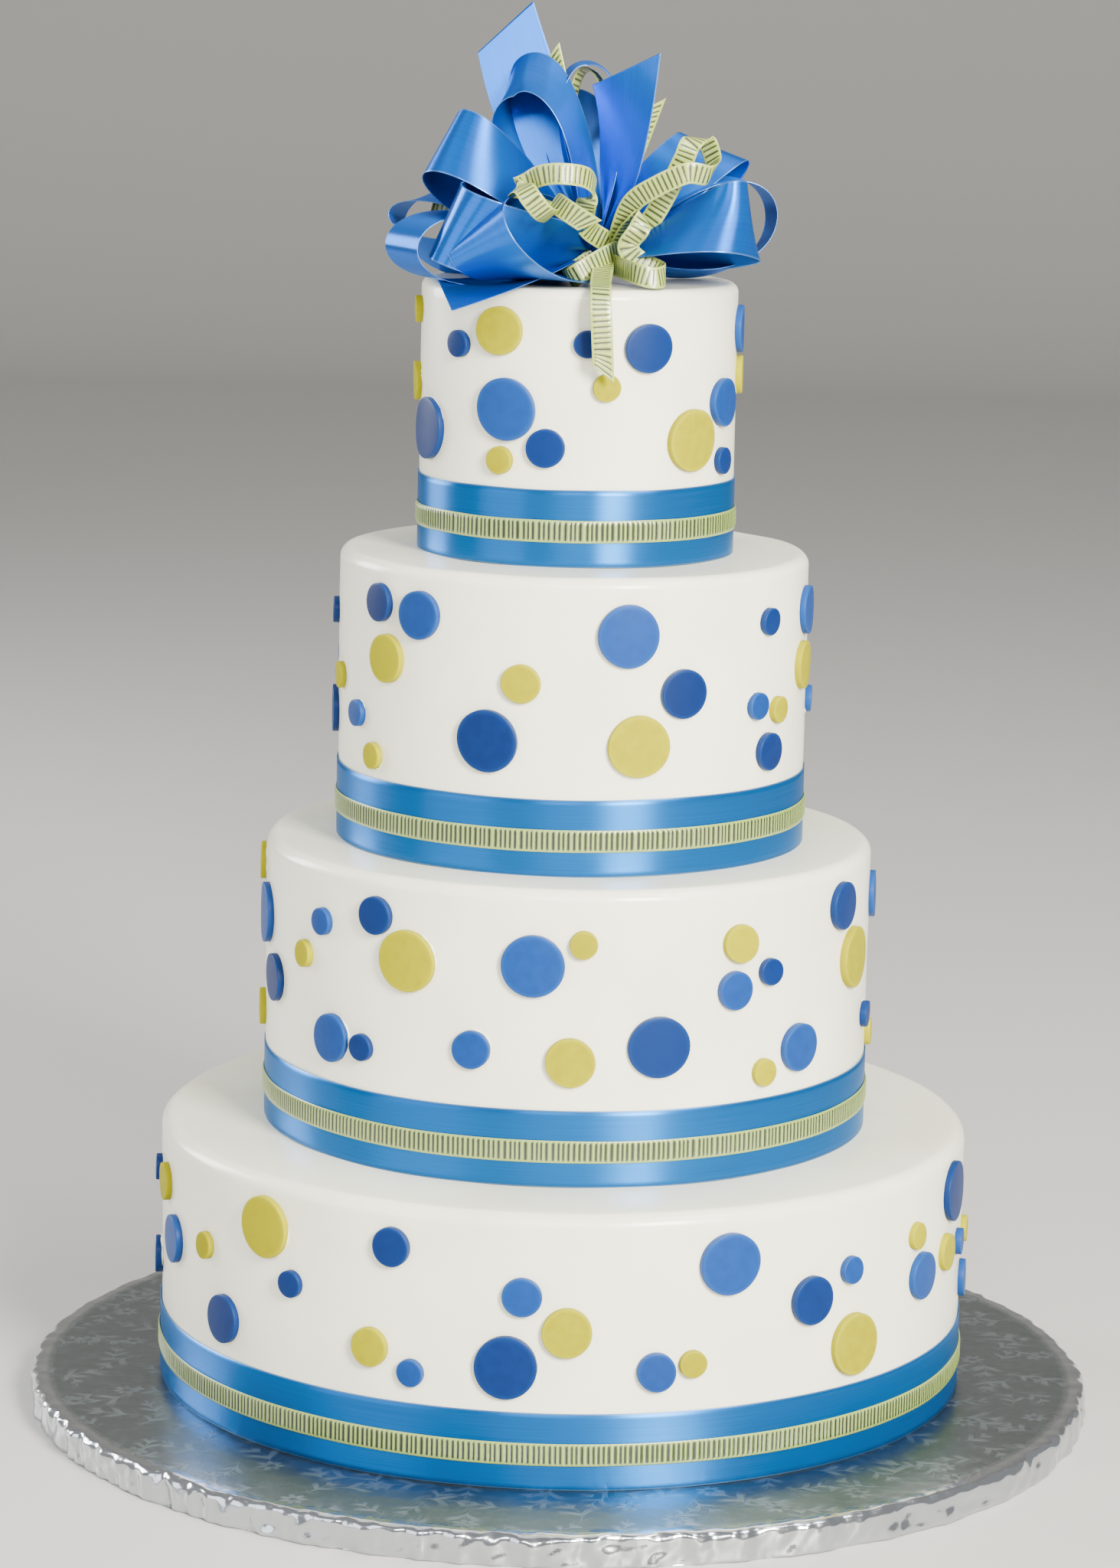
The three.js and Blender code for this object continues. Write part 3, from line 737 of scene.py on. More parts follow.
        # Painted reflection: away from the flat top, the foil takes the paler edge colour.
        colour = add_node(tree, "Mix", {"data_type": "RGBA", FACTOR: flat,
                                        FROM: srgb(self.edge), TO: top.outputs[MIXED]})
        plain = add_node(tree, "MapRange", {"To Min": self.edge_roughness,
                                            "To Max": self.roughness, "Value": flat})
        matt = add_node(tree, "Math MULTIPLY_ADD",
                        [figure, self.leaf_roughness - self.roughness, plain])
        bent = add_node(tree, "TexNoise", {"Scale": per_metre(self.facet_warp_mm), "Detail": 1.0,
                                           "Vector": place})
        pushed = add_node(tree, "VectorMath MULTIPLY_ADD",
                          [bent.outputs["Color"], (self.facet_push_mm * MM,) * 3, place])
        facets = add_node(tree, "TexVoronoi", {"Scale": per_metre(self.facet_mm),
                                               "Vector": pushed})
        edge = add_node(tree, "Math SUBTRACT", [1.0, flat])
        crushed = add_node(tree, "Math MULTIPLY", [facets, edge])
        crushed = add_node(tree, "Math MULTIPLY", [crushed, self.facet_height])
        embossed = add_node(tree, "Math ADD", [figure, cloud])
        height = add_node(tree, "Math ADD", [crushed, embossed])
        bump = add_node(tree, "Bump", {"Strength": self.bump, "Distance": self.bump_mm * MM,
                                       "Height": height})
        set_up(shader, {"Metallic": 1.0, "Base Color": colour.outputs[MIXED], "Roughness": matt,
                        "Normal": bump})
        return material


# ------------------------------------------------------------------ tiers


CLEARANCE = 0.3
BOARD_THICKNESS = 16.0
BOARD_RADIUS = 272.0
# Each tier's name, radius, height and the radius of its shoulder, from the bottom up.
TIER_SIZES = (("16in", 206.0, 135.0, 7.0), ("12in", 153.5, 146.0, 6.0),
              ("9in", 118.0, 146.0, 5.5), ("6in", 79.0, 135.0, 5.0))


@dataclass(frozen=True)
class Tier:
    """One cake of the stack, with the height of its foot above the table."""

    name: str
    radius: float
    height: float
    shoulder: float
    foot: float

    @property
    def node(self) -> str:
        """The name of its CAD node."""
        return f"tier_{self.name}"


def stacked_tiers() -> list[Tier]:
    """The tiers from the bottom up, each resting on the one below.

    Returns:
        The four tiers, each with its foot a hair above what it stands on.
    """
    tiers = []
    foot = BOARD_THICKNESS
    for name, radius, height, shoulder in TIER_SIZES:
        tiers.append(Tier(name, radius, height - CLEARANCE, shoulder, foot + CLEARANCE))
        foot += height
    return tiers


@dataclass
class IcedTiers:
    """The four cakes under their rolled icing."""

    tiers: list[Tier]
    segments: int = 240
    wall_rows: int = 34
    shoulder_rows: int = 14
    top_rows: int = 26
    # How far the icing is uneven, over what length: broad and small on the wall, and on top.
    wall_waves: tuple[tuple[float, float], ...] = ((0.28, 110.0), (0.1, 38.0))
    top_wave: tuple[float, float] = (0.3, 80.0)

    def profile(self, tier: Tier) -> np.ndarray:
        """The outline of a tier from the middle of its foot to the middle of its top.

        The wall is straight, the shoulder is a quarter of an ellipse a little wider than it
        is high, and the top runs level to the axis.

        Args:
            tier: the tier.

        Returns:
            Rows of radius and height.
        """
        top = tier.foot + tier.height
        foot = np.array([[radius, tier.foot] for radius in (0, tier.radius * 0.6, tier.radius - 2)])
        rise = np.linspace(0, tier.height - tier.shoulder, self.wall_rows)
        wall = np.stack([np.full_like(rise, tier.radius), tier.foot + rise], -1)
        bend = np.linspace(0, np.pi / 2, self.shoulder_rows)[1:]
        inner = tier.radius - tier.shoulder
        shoulder = np.stack([inner + tier.shoulder * np.cos(bend),
                             top - tier.shoulder * (1 - np.sin(bend))], -1)
        level = np.linspace(inner, 0, self.top_rows)[1:]
        flat = np.stack([level, np.full_like(level, top)], -1)
        return np.concatenate([foot, wall, shoulder, flat])

    def icing(self, tier: Tier, material: Material) -> Object:
        """One tier's icing, uneven by a third of a millimetre as a smoothing tool leaves it.

        Args:
            tier: the tier.
            material: the icing's finish.

        Returns:
            The new object.
        """
        points = turned_form(self.profile(tier), self.segments)
        seed = round(tier.radius)
        outward = unit(points * [1, 1, 0])
        lift = (tier.foot + tier.height - points[..., 2]) < tier.shoulder
        wave = sum(size * ripple(points, length, seed + number)
                   for number, (size, length) in enumerate(self.wall_waves))
        points = points + outward * np.where(points[..., 2] > tier.foot + 1, wave, 0)[..., None]
        size, length = self.top_wave
        points[..., 2] += np.where(lift, size * ripple(points, length, seed + 2), 0)
        return make_piece(f"icing_{tier.name}", points, material)

    def build(self, material: Material) -> None:
        """Makes every tier's icing in place of its CAD node."""
        for tier in self.tiers:
            settle(self.icing(tier, material), [tier.node])


# ------------------------------------------------------------------ sugar dots


class Tone(Enum):
    """The three colours of sugar paste."""

    NAVY = "navy"
    BLUE = "blue"
    YELLOW = "yellow"

    @property
    def following(self) -> Tone:
        """The tone that a copy on the back takes."""
        return {Tone.NAVY: Tone.YELLOW, Tone.YELLOW: Tone.BLUE, Tone.BLUE: Tone.NAVY}[self]


@dataclass(frozen=True)
class Dot:
    """A round cut-out: its angle, its height above its tier's foot, its diameter and tone."""

    angle: float
    height: float
    diameter: float
    tone: Tone
    tier: Tier


CUTTERS = {"S": 13.5, "M": 19.0, "L": 24.0, "XL": 30.5}
TONES = {"n": Tone.NAVY, "b": Tone.BLUE, "y": Tone.YELLOW}
# Each entry is "angle height size tone".
DOT_LAYOUT = {
    "16in": """36 85 L n, 43 96 S b, 60 80 L b, 72 113 XL n, 77 82 S b, -53 57 L n, -39 86 S n,
        -23 114 M n, -20 53 S b, -7 60 XL n, -5 95 M b, 13 58 M b, 23 109 XL b, 44 58 XL y,
        58 102 S y, 69 84 M y, -75 107 M y, -58 90 S y, -44 111 XL y, -26 63 M y, 1 78 L y,
        18 61 S y, -83 107 S n, -70 82 L b, -84 60 M n, 84 82 S y, 83 57 M b""",
    "12in": """40 101 S n, 48 60 L b, 62 125 L n, 78 61 S n, -71 78 L n, -51 117 S b,
        -48 60 L b, -40 59 S n, -37 126 M n, -17 66 M b, -6 109 XL b, 17 69 XL n, 32 94 M b,
        68 96 XL y, -57 98 S y, -30 106 XL y, 1 62 L y, 3 120 S y, 33 117 M y, 39 51 S y,
        -79 107 XL b, -88 129 M y, -86 54 M y, 86 47 S y, 86 119 L b""",
    "9in": """54 120 S n, 55 55 M n, 78 120 L b, -63 68 S b, -53 126 M n, -39 123 L b,
        -20 65 XL n, 13 118 XL b, 27 89 L n, 50 79 S b, 59 75 S y, 75 93 L y, -55 49 S y,
        -50 99 L y, -12 94 M y, 16 64 XL y, -86 113 S n, -88 62 L n, 87 72 S b, -76 83 S y""",
    "6in": """-67 62 XL n, -47 106 S n, -26 76 XL b, -11 58 M n, 25 107 L n, 64 49 S n,
        64 78 L b, -29 114 L y, -28 51 S y, 10 88 S y, 45 61 XL y, -84 119 S y, -86 83 M y,
        3 109 S n, 86 112 L b, 88 89 M y""",
}


@dataclass
class SugarDots:
    """The cut-outs on every tier's wall, and the white icing that sticks some of them on."""

    tiers: list[Tier]
    thickness: float = 3.3
    sink: float = 0.8
    bevel: float = 0.55
    band_width: float = 38.0
    margin: float = 2.0
    back_limit: float = 78.0
    around: int = 44
    seed: int = 31
    flare: float = 0.06
    # The most that an outline strays, by its second and third harmonics, as a share.
    oval: tuple[float, float] = (0.004, 0.02)
    corners: float = 0.009
    lean: float = 0.3
    dome: float = 0.25
    bead_stations: int = 30
    bead_segments: int = 8
    bead_turn: tuple[float, float] = (50, 190)
    bead_radius: tuple[float, float] = (0.35, 0.75)

    def gap(self, one: Dot, other: Dot) -> float:
        """The gap between two dots' rims, over the wall.

        Args:
            one: a dot.
            other: another dot of the same tier.

        Returns:
            The gap in millimetres, below zero where they overlap.
        """
        turn = (one.angle - other.angle + 180) % 360 - 180
        apart = math.hypot(math.radians(turn) * one.tier.radius, one.height - other.height)
        return apart - (one.diameter + other.diameter) / 2

    def dots_of(self, tier: Tier) -> list[Dot]:
        """The tier's dots: the front ones as laid out, and copies of them on the back.

        A copy is turned by half a turn, mirrored in height between the band and the shoulder
        and takes the next tone. It is left out where it would touch another.

        Args:
            tier: the tier.

        Returns:
            Its dots.
        """
        placed = []
        for entry in DOT_LAYOUT[tier.name].split(","):
            angle, height, size, tone = entry.split()
            placed.append(Dot(float(angle), float(height), CUTTERS[size], TONES[tone], tier))
        lowest = self.band_width + CUTTERS["XL"] / 2 + self.margin
        highest = tier.height + CLEARANCE - tier.shoulder - CUTTERS["XL"] / 2
        front = [dot for dot in placed if abs(dot.angle) < self.back_limit]
        front.sort(key=lambda dot: dot.diameter == CUTTERS["S"])
        for dot in front:
            height = min(max(lowest + highest - dot.height, lowest), highest)
            copy = Dot(dot.angle + 180, height, dot.diameter, dot.tone.following, tier)
            if all(self.gap(copy, other) > self.margin for other in placed):
                placed.append(copy)
        return placed

    def profile(self) -> tuple[np.ndarray, np.ndarray, np.ndarray]:
        """The outline of a cut-out of unit radius.

        It runs from the middle of the face over a rounded rim, down a wall that spreads a
        little where it was pressed on, to the middle of its back.

        Returns:
            For each point the share of the radius, an inset in millimetres and the height.
        """
        turn = np.linspace(np.pi / 2, 0, 6)
        share = np.concatenate([[0, 0.3, 0.6, 0.85], np.ones(len(turn) + 2), [0]])
        inset = np.concatenate([[0, 0, 0, 0], self.bevel * (1 - np.cos(turn)),
                                [-self.flare, 0.1], [0]])
        high = self.thickness - self.bevel
        height = np.concatenate([np.full(4, self.thickness), high + self.bevel * np.sin(turn),
                                 [0.5, -self.sink], [-self.sink]])
        return share, inset, height

    def cutouts(self, name: str, dots: list[Dot], material: Material) -> Object:
        """Many cut-outs as one mesh, each bent round its tier.

        A point at (x, z) on the disc goes to the angle of its middle plus x over the tier's
        radius. The outline is a circle with a little of the second and third harmonics, and
        the face leans and domes by parts of a millimetre.

        Args:
            name: the piece's name.
            dots: the cut-outs.
            material: their finish.

        Returns:
            The new object.
        """
        draw = np.random.default_rng(self.seed + len(name) + len(dots))
        share, inset, height = self.profile()
        count = len(dots)
        turn = np.linspace(0, 2 * np.pi, self.around, endpoint=False)
        rim = np.array([dot.diameter / 2 for dot in dots])[:, None, None]
        phase = draw.uniform(0, 2 * np.pi, (2, count, 1, 1))
        outline = (1 + draw.uniform(*self.oval, (count, 1, 1)) * np.cos(2 * turn - phase[0])
                   + draw.uniform(0, self.corners, (count, 1, 1)) * np.cos(3 * turn - phase[1]))
        reach = share[:, None] * rim * outline - inset[:, None]
        x, z = reach * np.cos(turn), reach * np.sin(turn)
        lean = draw.uniform(-self.lean, self.lean, (2, count, 1, 1))
        above = smoothstep(height[:, None] / self.thickness)
        tilt = (lean[0] * x + lean[1] * z) / rim * above
        dome = self.dome * (1 - share[:, None] ** 2) * above
        out = height[:, None] + tilt + dome
        wall = np.array([dot.tier.radius for dot in dots])[:, None, None]
        angle = np.radians([dot.angle for dot in dots])[:, None, None] + x / wall
        level = np.array([dot.tier.foot + dot.height for dot in dots])[:, None, None]
        points = around_axis(wall + out, angle, level + z)
        # Painted highlight: the rim mark rises over the rounded rim towards the face.
        rim_highlight_mark = np.where(share > 0.95, smoothstep((height + 0.4) / self.thickness), 0)
        marks = {
            "tint": np.broadcast_to(draw.uniform(-1, 1, (count, 1, 1)), out.shape),
            "rim": np.broadcast_to(rim_highlight_mark[:, None], out.shape),
        }
        return make_piece(name, points, material, marks)

    def beads(self, name: str, dots: list[Dot], material: Material) -> Object:
        """The white icing squeezed out at the foot of some cut-outs.

        Each bead is a thin tube along part of a rim, fat in its middle and uneven.

        Args:
            name: the piece's name.
            dots: the cut-outs that have one.
            material: the icing.

        Returns:
            The new object.
        """
        draw = np.random.default_rng(self.seed)
        along = np.linspace(0, 1, self.bead_stations)[:, None]
        round_it = np.linspace(0, 2 * np.pi, self.bead_segments, endpoint=False)
        points = []
        for dot in dots:
            start = draw.uniform(-160, 40)
            theta = np.radians(start + draw.uniform(*self.bead_turn) * along)
            fat = draw.uniform(*self.bead_radius) * np.sin(np.pi * along) ** 0.6
            fat = np.maximum(fat * (1 + 0.3 * np.sin(23 * along + start)), 0.02)
            reach = dot.diameter / 2 + 0.1 + fat * np.cos(round_it)
            out = 0.15 + fat * np.sin(round_it)
            angle = math.radians(dot.angle) + reach * np.cos(theta) / dot.tier.radius
            radius = dot.tier.radius + out
            level = dot.tier.foot + dot.height + reach * np.sin(theta)
            points.append(around_axis(radius, angle, level))
        first = np.arange(len(round_it))
        centre = np.zeros_like(first)
        cap = np.stack([centre, first, (first + 1) % len(first), centre], -1)
        return make_piece(name, np.stack(points), material, cap=cap)

    def build(self, finishes: dict[Tone, Material], icing: Material,
              nodes: list[str]) -> None:
        """Makes the cut-outs of each tier and tone, and the beads.

        Args:
            finishes: the material of each tone.
            icing: the beads' material.
            nodes: the names of the CAD model's dots.
        """
        beaded = []
        for tier in self.tiers:
            dots = self.dots_of(tier)
            beaded += dots[::3]
            for tone in Tone:
                chosen = [dot for dot in dots if dot.tone is tone]
                piece = self.cutouts(f"sugar_dots_{tier.name}_{tone.value}", chosen,
                                     finishes[tone])
                stood_for = [node for node in nodes if node.endswith(tone.value)
                             and 0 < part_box(node)[0].z / MM - tier.foot < tier.height]
                settle(piece, stood_for)
        settle(self.beads("icing_beads", beaded, icing))


# ------------------------------------------------------------------ ribbons


@dataclass
class RibbonPath:
    """A ribbon's route, station by station: its middle, the unit direction across it, its half
    width, a shift of its edges along it, and how tightly it is gathered, from 0 to 1."""

    centre: np.ndarray
    across: np.ndarray
    half: np.ndarray
    shift: np.ndarray | None = None
    gather: np.ndarray | None = None

    def squared(self) -> RibbonPath:
        """The same route with each direction across made square to the route.

        Returns:
            The route.
        """
        tangent = unit(np.gradient(self.centre, axis=0))
        across = self.across - np.sum(self.across * tangent, -1, keepdims=True) * tangent
        return replace(self, across=unit(across))

    def run(self) -> np.ndarray:
        """The length run at each station."""
        steps = np.linalg.norm(np.diff(self.centre, axis=0), axis=1)
        return np.concatenate([[0], np.cumsum(steps)])

    def spaced(self, step: float) -> RibbonPath:
        """The same route with stations an even step apart.

        Args:
            step: the distance between stations.

        Returns:
            The route.
        """
        run = self.run()
        even = np.linspace(0, run[-1], max(int(run[-1] / step) + 1, 8))

        def again(values: np.ndarray | None) -> np.ndarray | None:
            """Values at the even stations.

            Args:
                values: one value or one row for each present station, or None.

            Returns:
                The values at the new stations, or None.
            """
            if values is None:
                return None
            if values.ndim == 1:
                return np.interp(even, run, values)
            return np.stack([np.interp(even, run, column) for column in values.T], -1)

        return RibbonPath(again(self.centre), again(self.across), again(self.half),
                          again(self.shift), again(self.gather)).squared()


@dataclass
class RibbonWeave:
    """How a ribbon is woven: its thickness, its width and its ribs, if it has them.

    The edge is the flat woven strip beside the ribs, and the pleats are in gathered parts.
    """

    thickness: float
    width: float
    columns: int
    rib_pitch: float = 0.0
    rib_height: float = 0.0
    rib_power: float = 0.6
    rib_drift: float = 0.16
    pleat_depth: float = 0.0
    pleat_waves: float = 1.25
    edge: float = 0.7
    edge_shade: float = 0.95
    crowding: float = 1.35
    flat_back: bool = False

    def sides(self) -> np.ndarray:
        """Places across the ribbon from -1 to 1, close together at its edges."""
        even = np.linspace(-1, 1, self.columns)
        return np.sign(even) * (1 - (1 - np.abs(even)) ** self.crowding)

    def ribs(self, run: np.ndarray, seed: int) -> np.ndarray:
        """The ribs' height along the ribbon, with a little drift in their pitch.

        Args:
            run: the length run at each station.
            seed: the seed of the drift.

        Returns:
            Values from 0 to 1. A lower power of their cosine narrows the grooves.
        """
        if not self.rib_pitch:
            return np.zeros_like(run)
        drift = self.rib_drift * ripple(run[:, None], 4 * self.rib_pitch, seed, 5)
        return np.abs(np.cos(np.pi * (run / self.rib_pitch + drift))) ** self.rib_power

    def piece(self, name: str, path: RibbonPath, material: Material,
              seed: int = 0) -> Object:
        """A closed ribbon of even thickness along a route.

        The middle surface is centre + half s across + pleats along the face, with
        s from -1 to 1. Both faces stand off it by half the thickness plus the ribs, along
        its own normal, unless the back is flat, and strips close the edges and the ends.

        Args:
            name: the piece's name.
            path: the route.
            material: the finish.
            seed: the seed of the ribs' drift.

        Returns:
            The new object.
        """
        side = self.sides()
        run = path.run()
        tangent = unit(np.gradient(path.centre, axis=0))
        facing = np.cross(tangent, path.across)
        aside = (path.half[:, None] * side)[..., None]
        surface = path.centre[:, None] + aside * path.across[:, None]
        if path.shift is not None:
            surface = surface + path.shift[:, None] * side[:, None]
        if self.pleat_depth and path.gather is not None:
            pleat = self.pleat_depth * np.cos(2 * np.pi * self.pleat_waves * side)
            surface = surface + (path.gather[:, None] * pleat)[..., None] * facing[:, None]
        normal = unit(np.cross(np.gradient(surface, axis=0), np.gradient(surface, axis=1)))
        distance = self.width / 2 * side
        flat_edge = 1 - smoothstep((np.abs(distance) - self.width / 2 + self.edge + 0.5) / 0.5)
        rib = self.ribs(run, seed)[:, None] * flat_edge
        front = (self.thickness / 2 + self.rib_height * rib)[..., None]
        back = self.thickness / 2 if self.flat_back else front
        shell = np.concatenate([surface + normal * front, (surface - normal * back)[:, ::-1]], 1)
        first = np.arange(self.columns - 1)
        last = 2 * self.columns - 1
        cap = np.stack([first, first + 1, last - 1 - first, last - first], -1)
        # The rib mark sets the painted shade in the grooves and the painted highlight on the
        # crests; the flat edge takes a value near a crest's.
        shade = rib + (1 - flat_edge) * self.edge_shade if self.rib_pitch else rib
        both = np.concatenate([distance, distance[::-1]])
        return make_piece(name, shell, material,
                          {"rib": np.concatenate([shade, shade[:, ::-1]], 1)},
                          np.stack(np.broadcast_arrays(run[:, None], both), -1), cap)


# How many stations of a route lie on one rib.
RIB_STATIONS = 8
SATIN_WEAVE = RibbonWeave(thickness=0.3, width=38.0, columns=25, pleat_depth=2.4)
SATIN_BAND_WEAVE = RibbonWeave(thickness=0.4, width=38.0, columns=9)
GROSGRAIN_WEAVE = RibbonWeave(thickness=0.35, width=11.0, columns=11, rib_pitch=2.7,
                              rib_height=0.3)
GROSGRAIN_BAND_WEAVE = replace(GROSGRAIN_WEAVE, rib_pitch=2.6, rib_height=0.5, rib_power=1.0,
                               flat_back=True)


@dataclass
class RibbonBands:
    """The satin band and the narrow grosgrain band round the foot of every tier."""

    tiers: list[Tier]
    overlap: float = 14.0
    lift: float = 12.0
    satin_stand: float = 0.55
    grosgrain_stand: float = 1.05
    lap: float = 0.75
    satin_step: float = 2.4
    wander: float = 0.22
    slack: float = 0.08
    # The lengths of its wander up and down and of its slack, in radians round the tier.
    wander_length: float = 0.9
    slack_length: float = 0.35

    def path(self, tier: Tier, stand: float, low: float, weave: RibbonWeave,
             step: float) -> RibbonPath:
        """The route of a band, from one end round to the other, which laps over it at the back.

        Args:
            tier: the tier.
            stand: how far the ribbon's middle stands off the wall.
            low: the height of its lower edge.
            weave: the ribbon.
            step: the distance between stations.

        Returns:
            The route.
        """
        radius = tier.radius + stand
        half_turn = np.pi + self.overlap / radius / 2
        turn = np.linspace(-half_turn, half_turn, int(2 * half_turn * radius / step))
        lap = self.lap * smoothstep((turn - half_turn + 2.2 * self.overlap / radius)
                                    / (self.overlap / radius))
        seed = round(tier.radius + low)
        out = radius + lap + self.slack * ripple(turn[:, None], self.slack_length, seed + 1, 5)
        wander = self.wander * ripple(turn[:, None], self.wander_length, seed, 5)
        height = low + weave.width / 2 + wander
        centre = around_axis(out, turn, height)
        across = np.broadcast_to([0.0, 0.0, 1.0], centre.shape)
        return RibbonPath(centre, across, np.full(len(turn), weave.width / 2)).squared()

    def build(self, satin: Material, grosgrain: Material) -> None:
        """Makes both bands of every tier in place of their CAD nodes.

        Args:
            satin: the wide ribbon's finish.
            grosgrain: the narrow ribbon's finish.
        """
        for tier in self.tiers:
            low = tier.foot - CLEARANCE + 0.1
            route = self.path(tier, self.satin_stand, low, SATIN_BAND_WEAVE,
                              self.satin_step)
            band = SATIN_BAND_WEAVE.piece(f"ribbon_satin_{tier.name}", route, satin)
            settle(band, [f"satin_band_{tier.name}"])
            route.run()[-1]
            weave = GROSGRAIN_BAND_WEAVE
            route = self.path(tier, self.grosgrain_stand, tier.foot + self.lift, weave,
                              weave.rib_pitch / RIB_STATIONS)
            narrow = weave.piece(f"ribbon_grosgrain_{tier.name}", route, grosgrain,
                                 round(tier.radius))
            settle(narrow, [f"grosgrain_band_{tier.name}"])
            route.run()[-1]


@dataclass(frozen=True)
class BowLoop:
    """A loop of the bow. Angles are degrees and lengths millimetres, as in the CAD model."""

    azimuth: float
    rise: float
    roll: float
    length: float
    opening: float
    twist: float
    sag: float
    fullness: float
    slant: float
    turn: float = 0.0

    def path(self, knot: np.ndarray, width: float, pinch: float, start: float = 16.0,
             stations: int = 240) -> RibbonPath:
        """The route of the loop from the knot out and back.

        With a phase from 0 to a full turn, it reaches (1 - cos phase) / 2 of its length out,
        and opens by sin phase times a power of sin half phase. The ribbon turns by the twist
        times cos half phase and the turn times its square, and widens from the pinch to its
        full width.

        Args:
            knot: the middle of the bow.
            width: the ribbon's width.
            pinch: half the ribbon's width in the knot.
            start: the phase in degrees at which the ribbon comes out of the knot.
            stations: how many stations there are.

        Returns:
            The route.
        """
        along, opening, across = ribbon_axes(self.azimuth, self.rise, self.roll)
        phase = np.linspace(math.radians(start), 2 * np.pi - math.radians(start), stations)
        swell = np.sin(phase) * np.abs(np.sin(phase / 2)) ** self.fullness
        fine = np.linspace(0, np.pi, 361)
        swell /= np.max(np.sin(fine) * np.sin(fine / 2) ** self.fullness)
        reach = (1 - np.cos(phase)) / 2
        aside = self.opening / 2 * swell + self.sag * reach ** 2
        centre = knot + (self.length * reach)[:, None] * along + aside[:, None] * opening
        skew = (self.slant * np.sin(phase / 2) ** 2)[:, None] * along
        fold = np.cos(phase / 2)
        angle = np.radians(self.twist * fold + self.turn * fold ** 2)
        direction = turned_about(across + skew, along, angle)
        spread = smoothstep(np.sin(phase / 2) / LOOP_SPREAD_AT)
        half = pinch + (width / 2 - pinch) * spread
        return RibbonPath(centre, direction, half, gather=1 - spread).squared()


@dataclass(frozen=True)
class BowTail:
    """A tail of the bow, which ends in a slanted cut."""

    azimuth: float
    rise: float
    roll: float
    length: float
    twist: float
    sag: float
    cut: float
    lean: float

    def path(self, knot: np.ndarray, width: float, pinch: float,
             stations: int = 140) -> RibbonPath:
        """The route of the tail from the knot to its cut end.

        It runs straight along its direction, with a sag across its face and a lean across
        its width that grow with the square of the way.

        Args:
            knot: the middle of the bow.
            width: the ribbon's width.
            pinch: half the ribbon's width in the knot.
            stations: how many stations there are.

        Returns:
            The route.
        """
        along, opening, across = ribbon_axes(self.azimuth, self.rise, self.roll)
        part = np.linspace(TAIL_START, 1, stations)
        column = part[:, None]
        centre = (knot + self.length * column * along + self.sag * column ** 2 * opening
                  + self.lean * column ** 2 * across)
        direction = turned_about(np.broadcast_to(across, centre.shape), along,
                                 math.radians(self.twist) * (1 - part))
        spread = smoothstep(part / TAIL_SPREAD_AT)
        half = pinch + (width / 2 - pinch) * spread
        return RibbonPath(centre, direction, half, shift=self.cut * column ** 3 * along,
                          gather=1 - spread).squared()


def ribbon_axes(azimuth: float, rise: float, roll: float) -> tuple[np.ndarray, ...]:
    """The outward, opening and cross directions of a ribbon that leaves the knot.

    Args:
        azimuth: the outward direction's angle round the Z axis, in degrees from +X.
        rise: its angle above the level.
        roll: the ribbon's turn about it.

    Returns:
        Three unit vectors.
    """
    turn, lift, spin = np.radians([azimuth, rise, roll])
    along = np.array([np.cos(turn) * np.cos(lift), np.sin(turn) * np.cos(lift), np.sin(lift)])
    upward = np.array([-np.cos(turn) * np.sin(lift), -np.sin(turn) * np.sin(lift), np.cos(lift)])
    opening = upward * np.cos(spin) + np.cross(along, upward) * np.sin(spin)
    return along, opening, np.cross(along, opening)


# How far out of the knot a loop or a tail has its full width, and where a tail starts.
LOOP_SPREAD_AT = 0.77
TAIL_SPREAD_AT = 0.5
TAIL_START = 0.04
BOW_KNOT = np.array([8.0, -10.0, 591.0])
# The narrow ribbon's own loops and tails start a little further back, clear of the satin.
GROSGRAIN_KNOT = np.array([8.0, -3.0, 591.0])
PINCHED_HALF_WIDTH = 3.0
SATIN_LOOPS = {
    "left_far": BowLoop(-157, 4, 180, 104, 34, -1, 2, 1.2, -0.06),
    "left_back": BowLoop(168, 9, 190, 104, 31, 40, 1, 1.06, -0.01),
    "left_high": BowLoop(-169, 33, -70, 97, 36, 17, 8, 1.5, 0.01, 35),
    "left_low": BowLoop(-142, 11, -105, 96, 38, -14, 5, 1.19, -0.16, -16),
    "left_front": BowLoop(-126, 4, 29, 96, 33, 32, 4, 0.84, 0, -18),
    "front_high": BowLoop(175, 64, -17, 96, 34, 11, 2, 1.4, 0.49, -15),
    "top": BowLoop(100, 70, 82, 99, 33, -9, -1, 1.05, 0.4),
    "right_high": BowLoop(28, 37, 51, 82, 24, -29, 5, 1.13, 0.4),
    "right_front": BowLoop(-25, 14, 79, 85, 34, -66, 2, 1.46, -0.03),
    "right_flat": BowLoop(11, 11, -4, 91, 44, 10, 6, 1.12, -0.06),
    "back_right": BowLoop(80, 14, 80, 86, 36, -14, 3, 1.2, 0),
    "back_left": BowLoop(138, 18, -70, 88, 34, 10, 3, 1.1, -0.1),
    "back_high": BowLoop(112, 50, 80, 90, 34, 8, 4, 1.1, 0.1),
}
SATIN_TAILS = {
    "left": BowTail(158, 57, -70, 122, 6, -1, 9, 16),
    "right": BowTail(-22, 70, 70, 91, -34, 8, 9, -16),
    "front": BowTail(-128, -12, -7, 104, 38, 4, -13, 13),
}


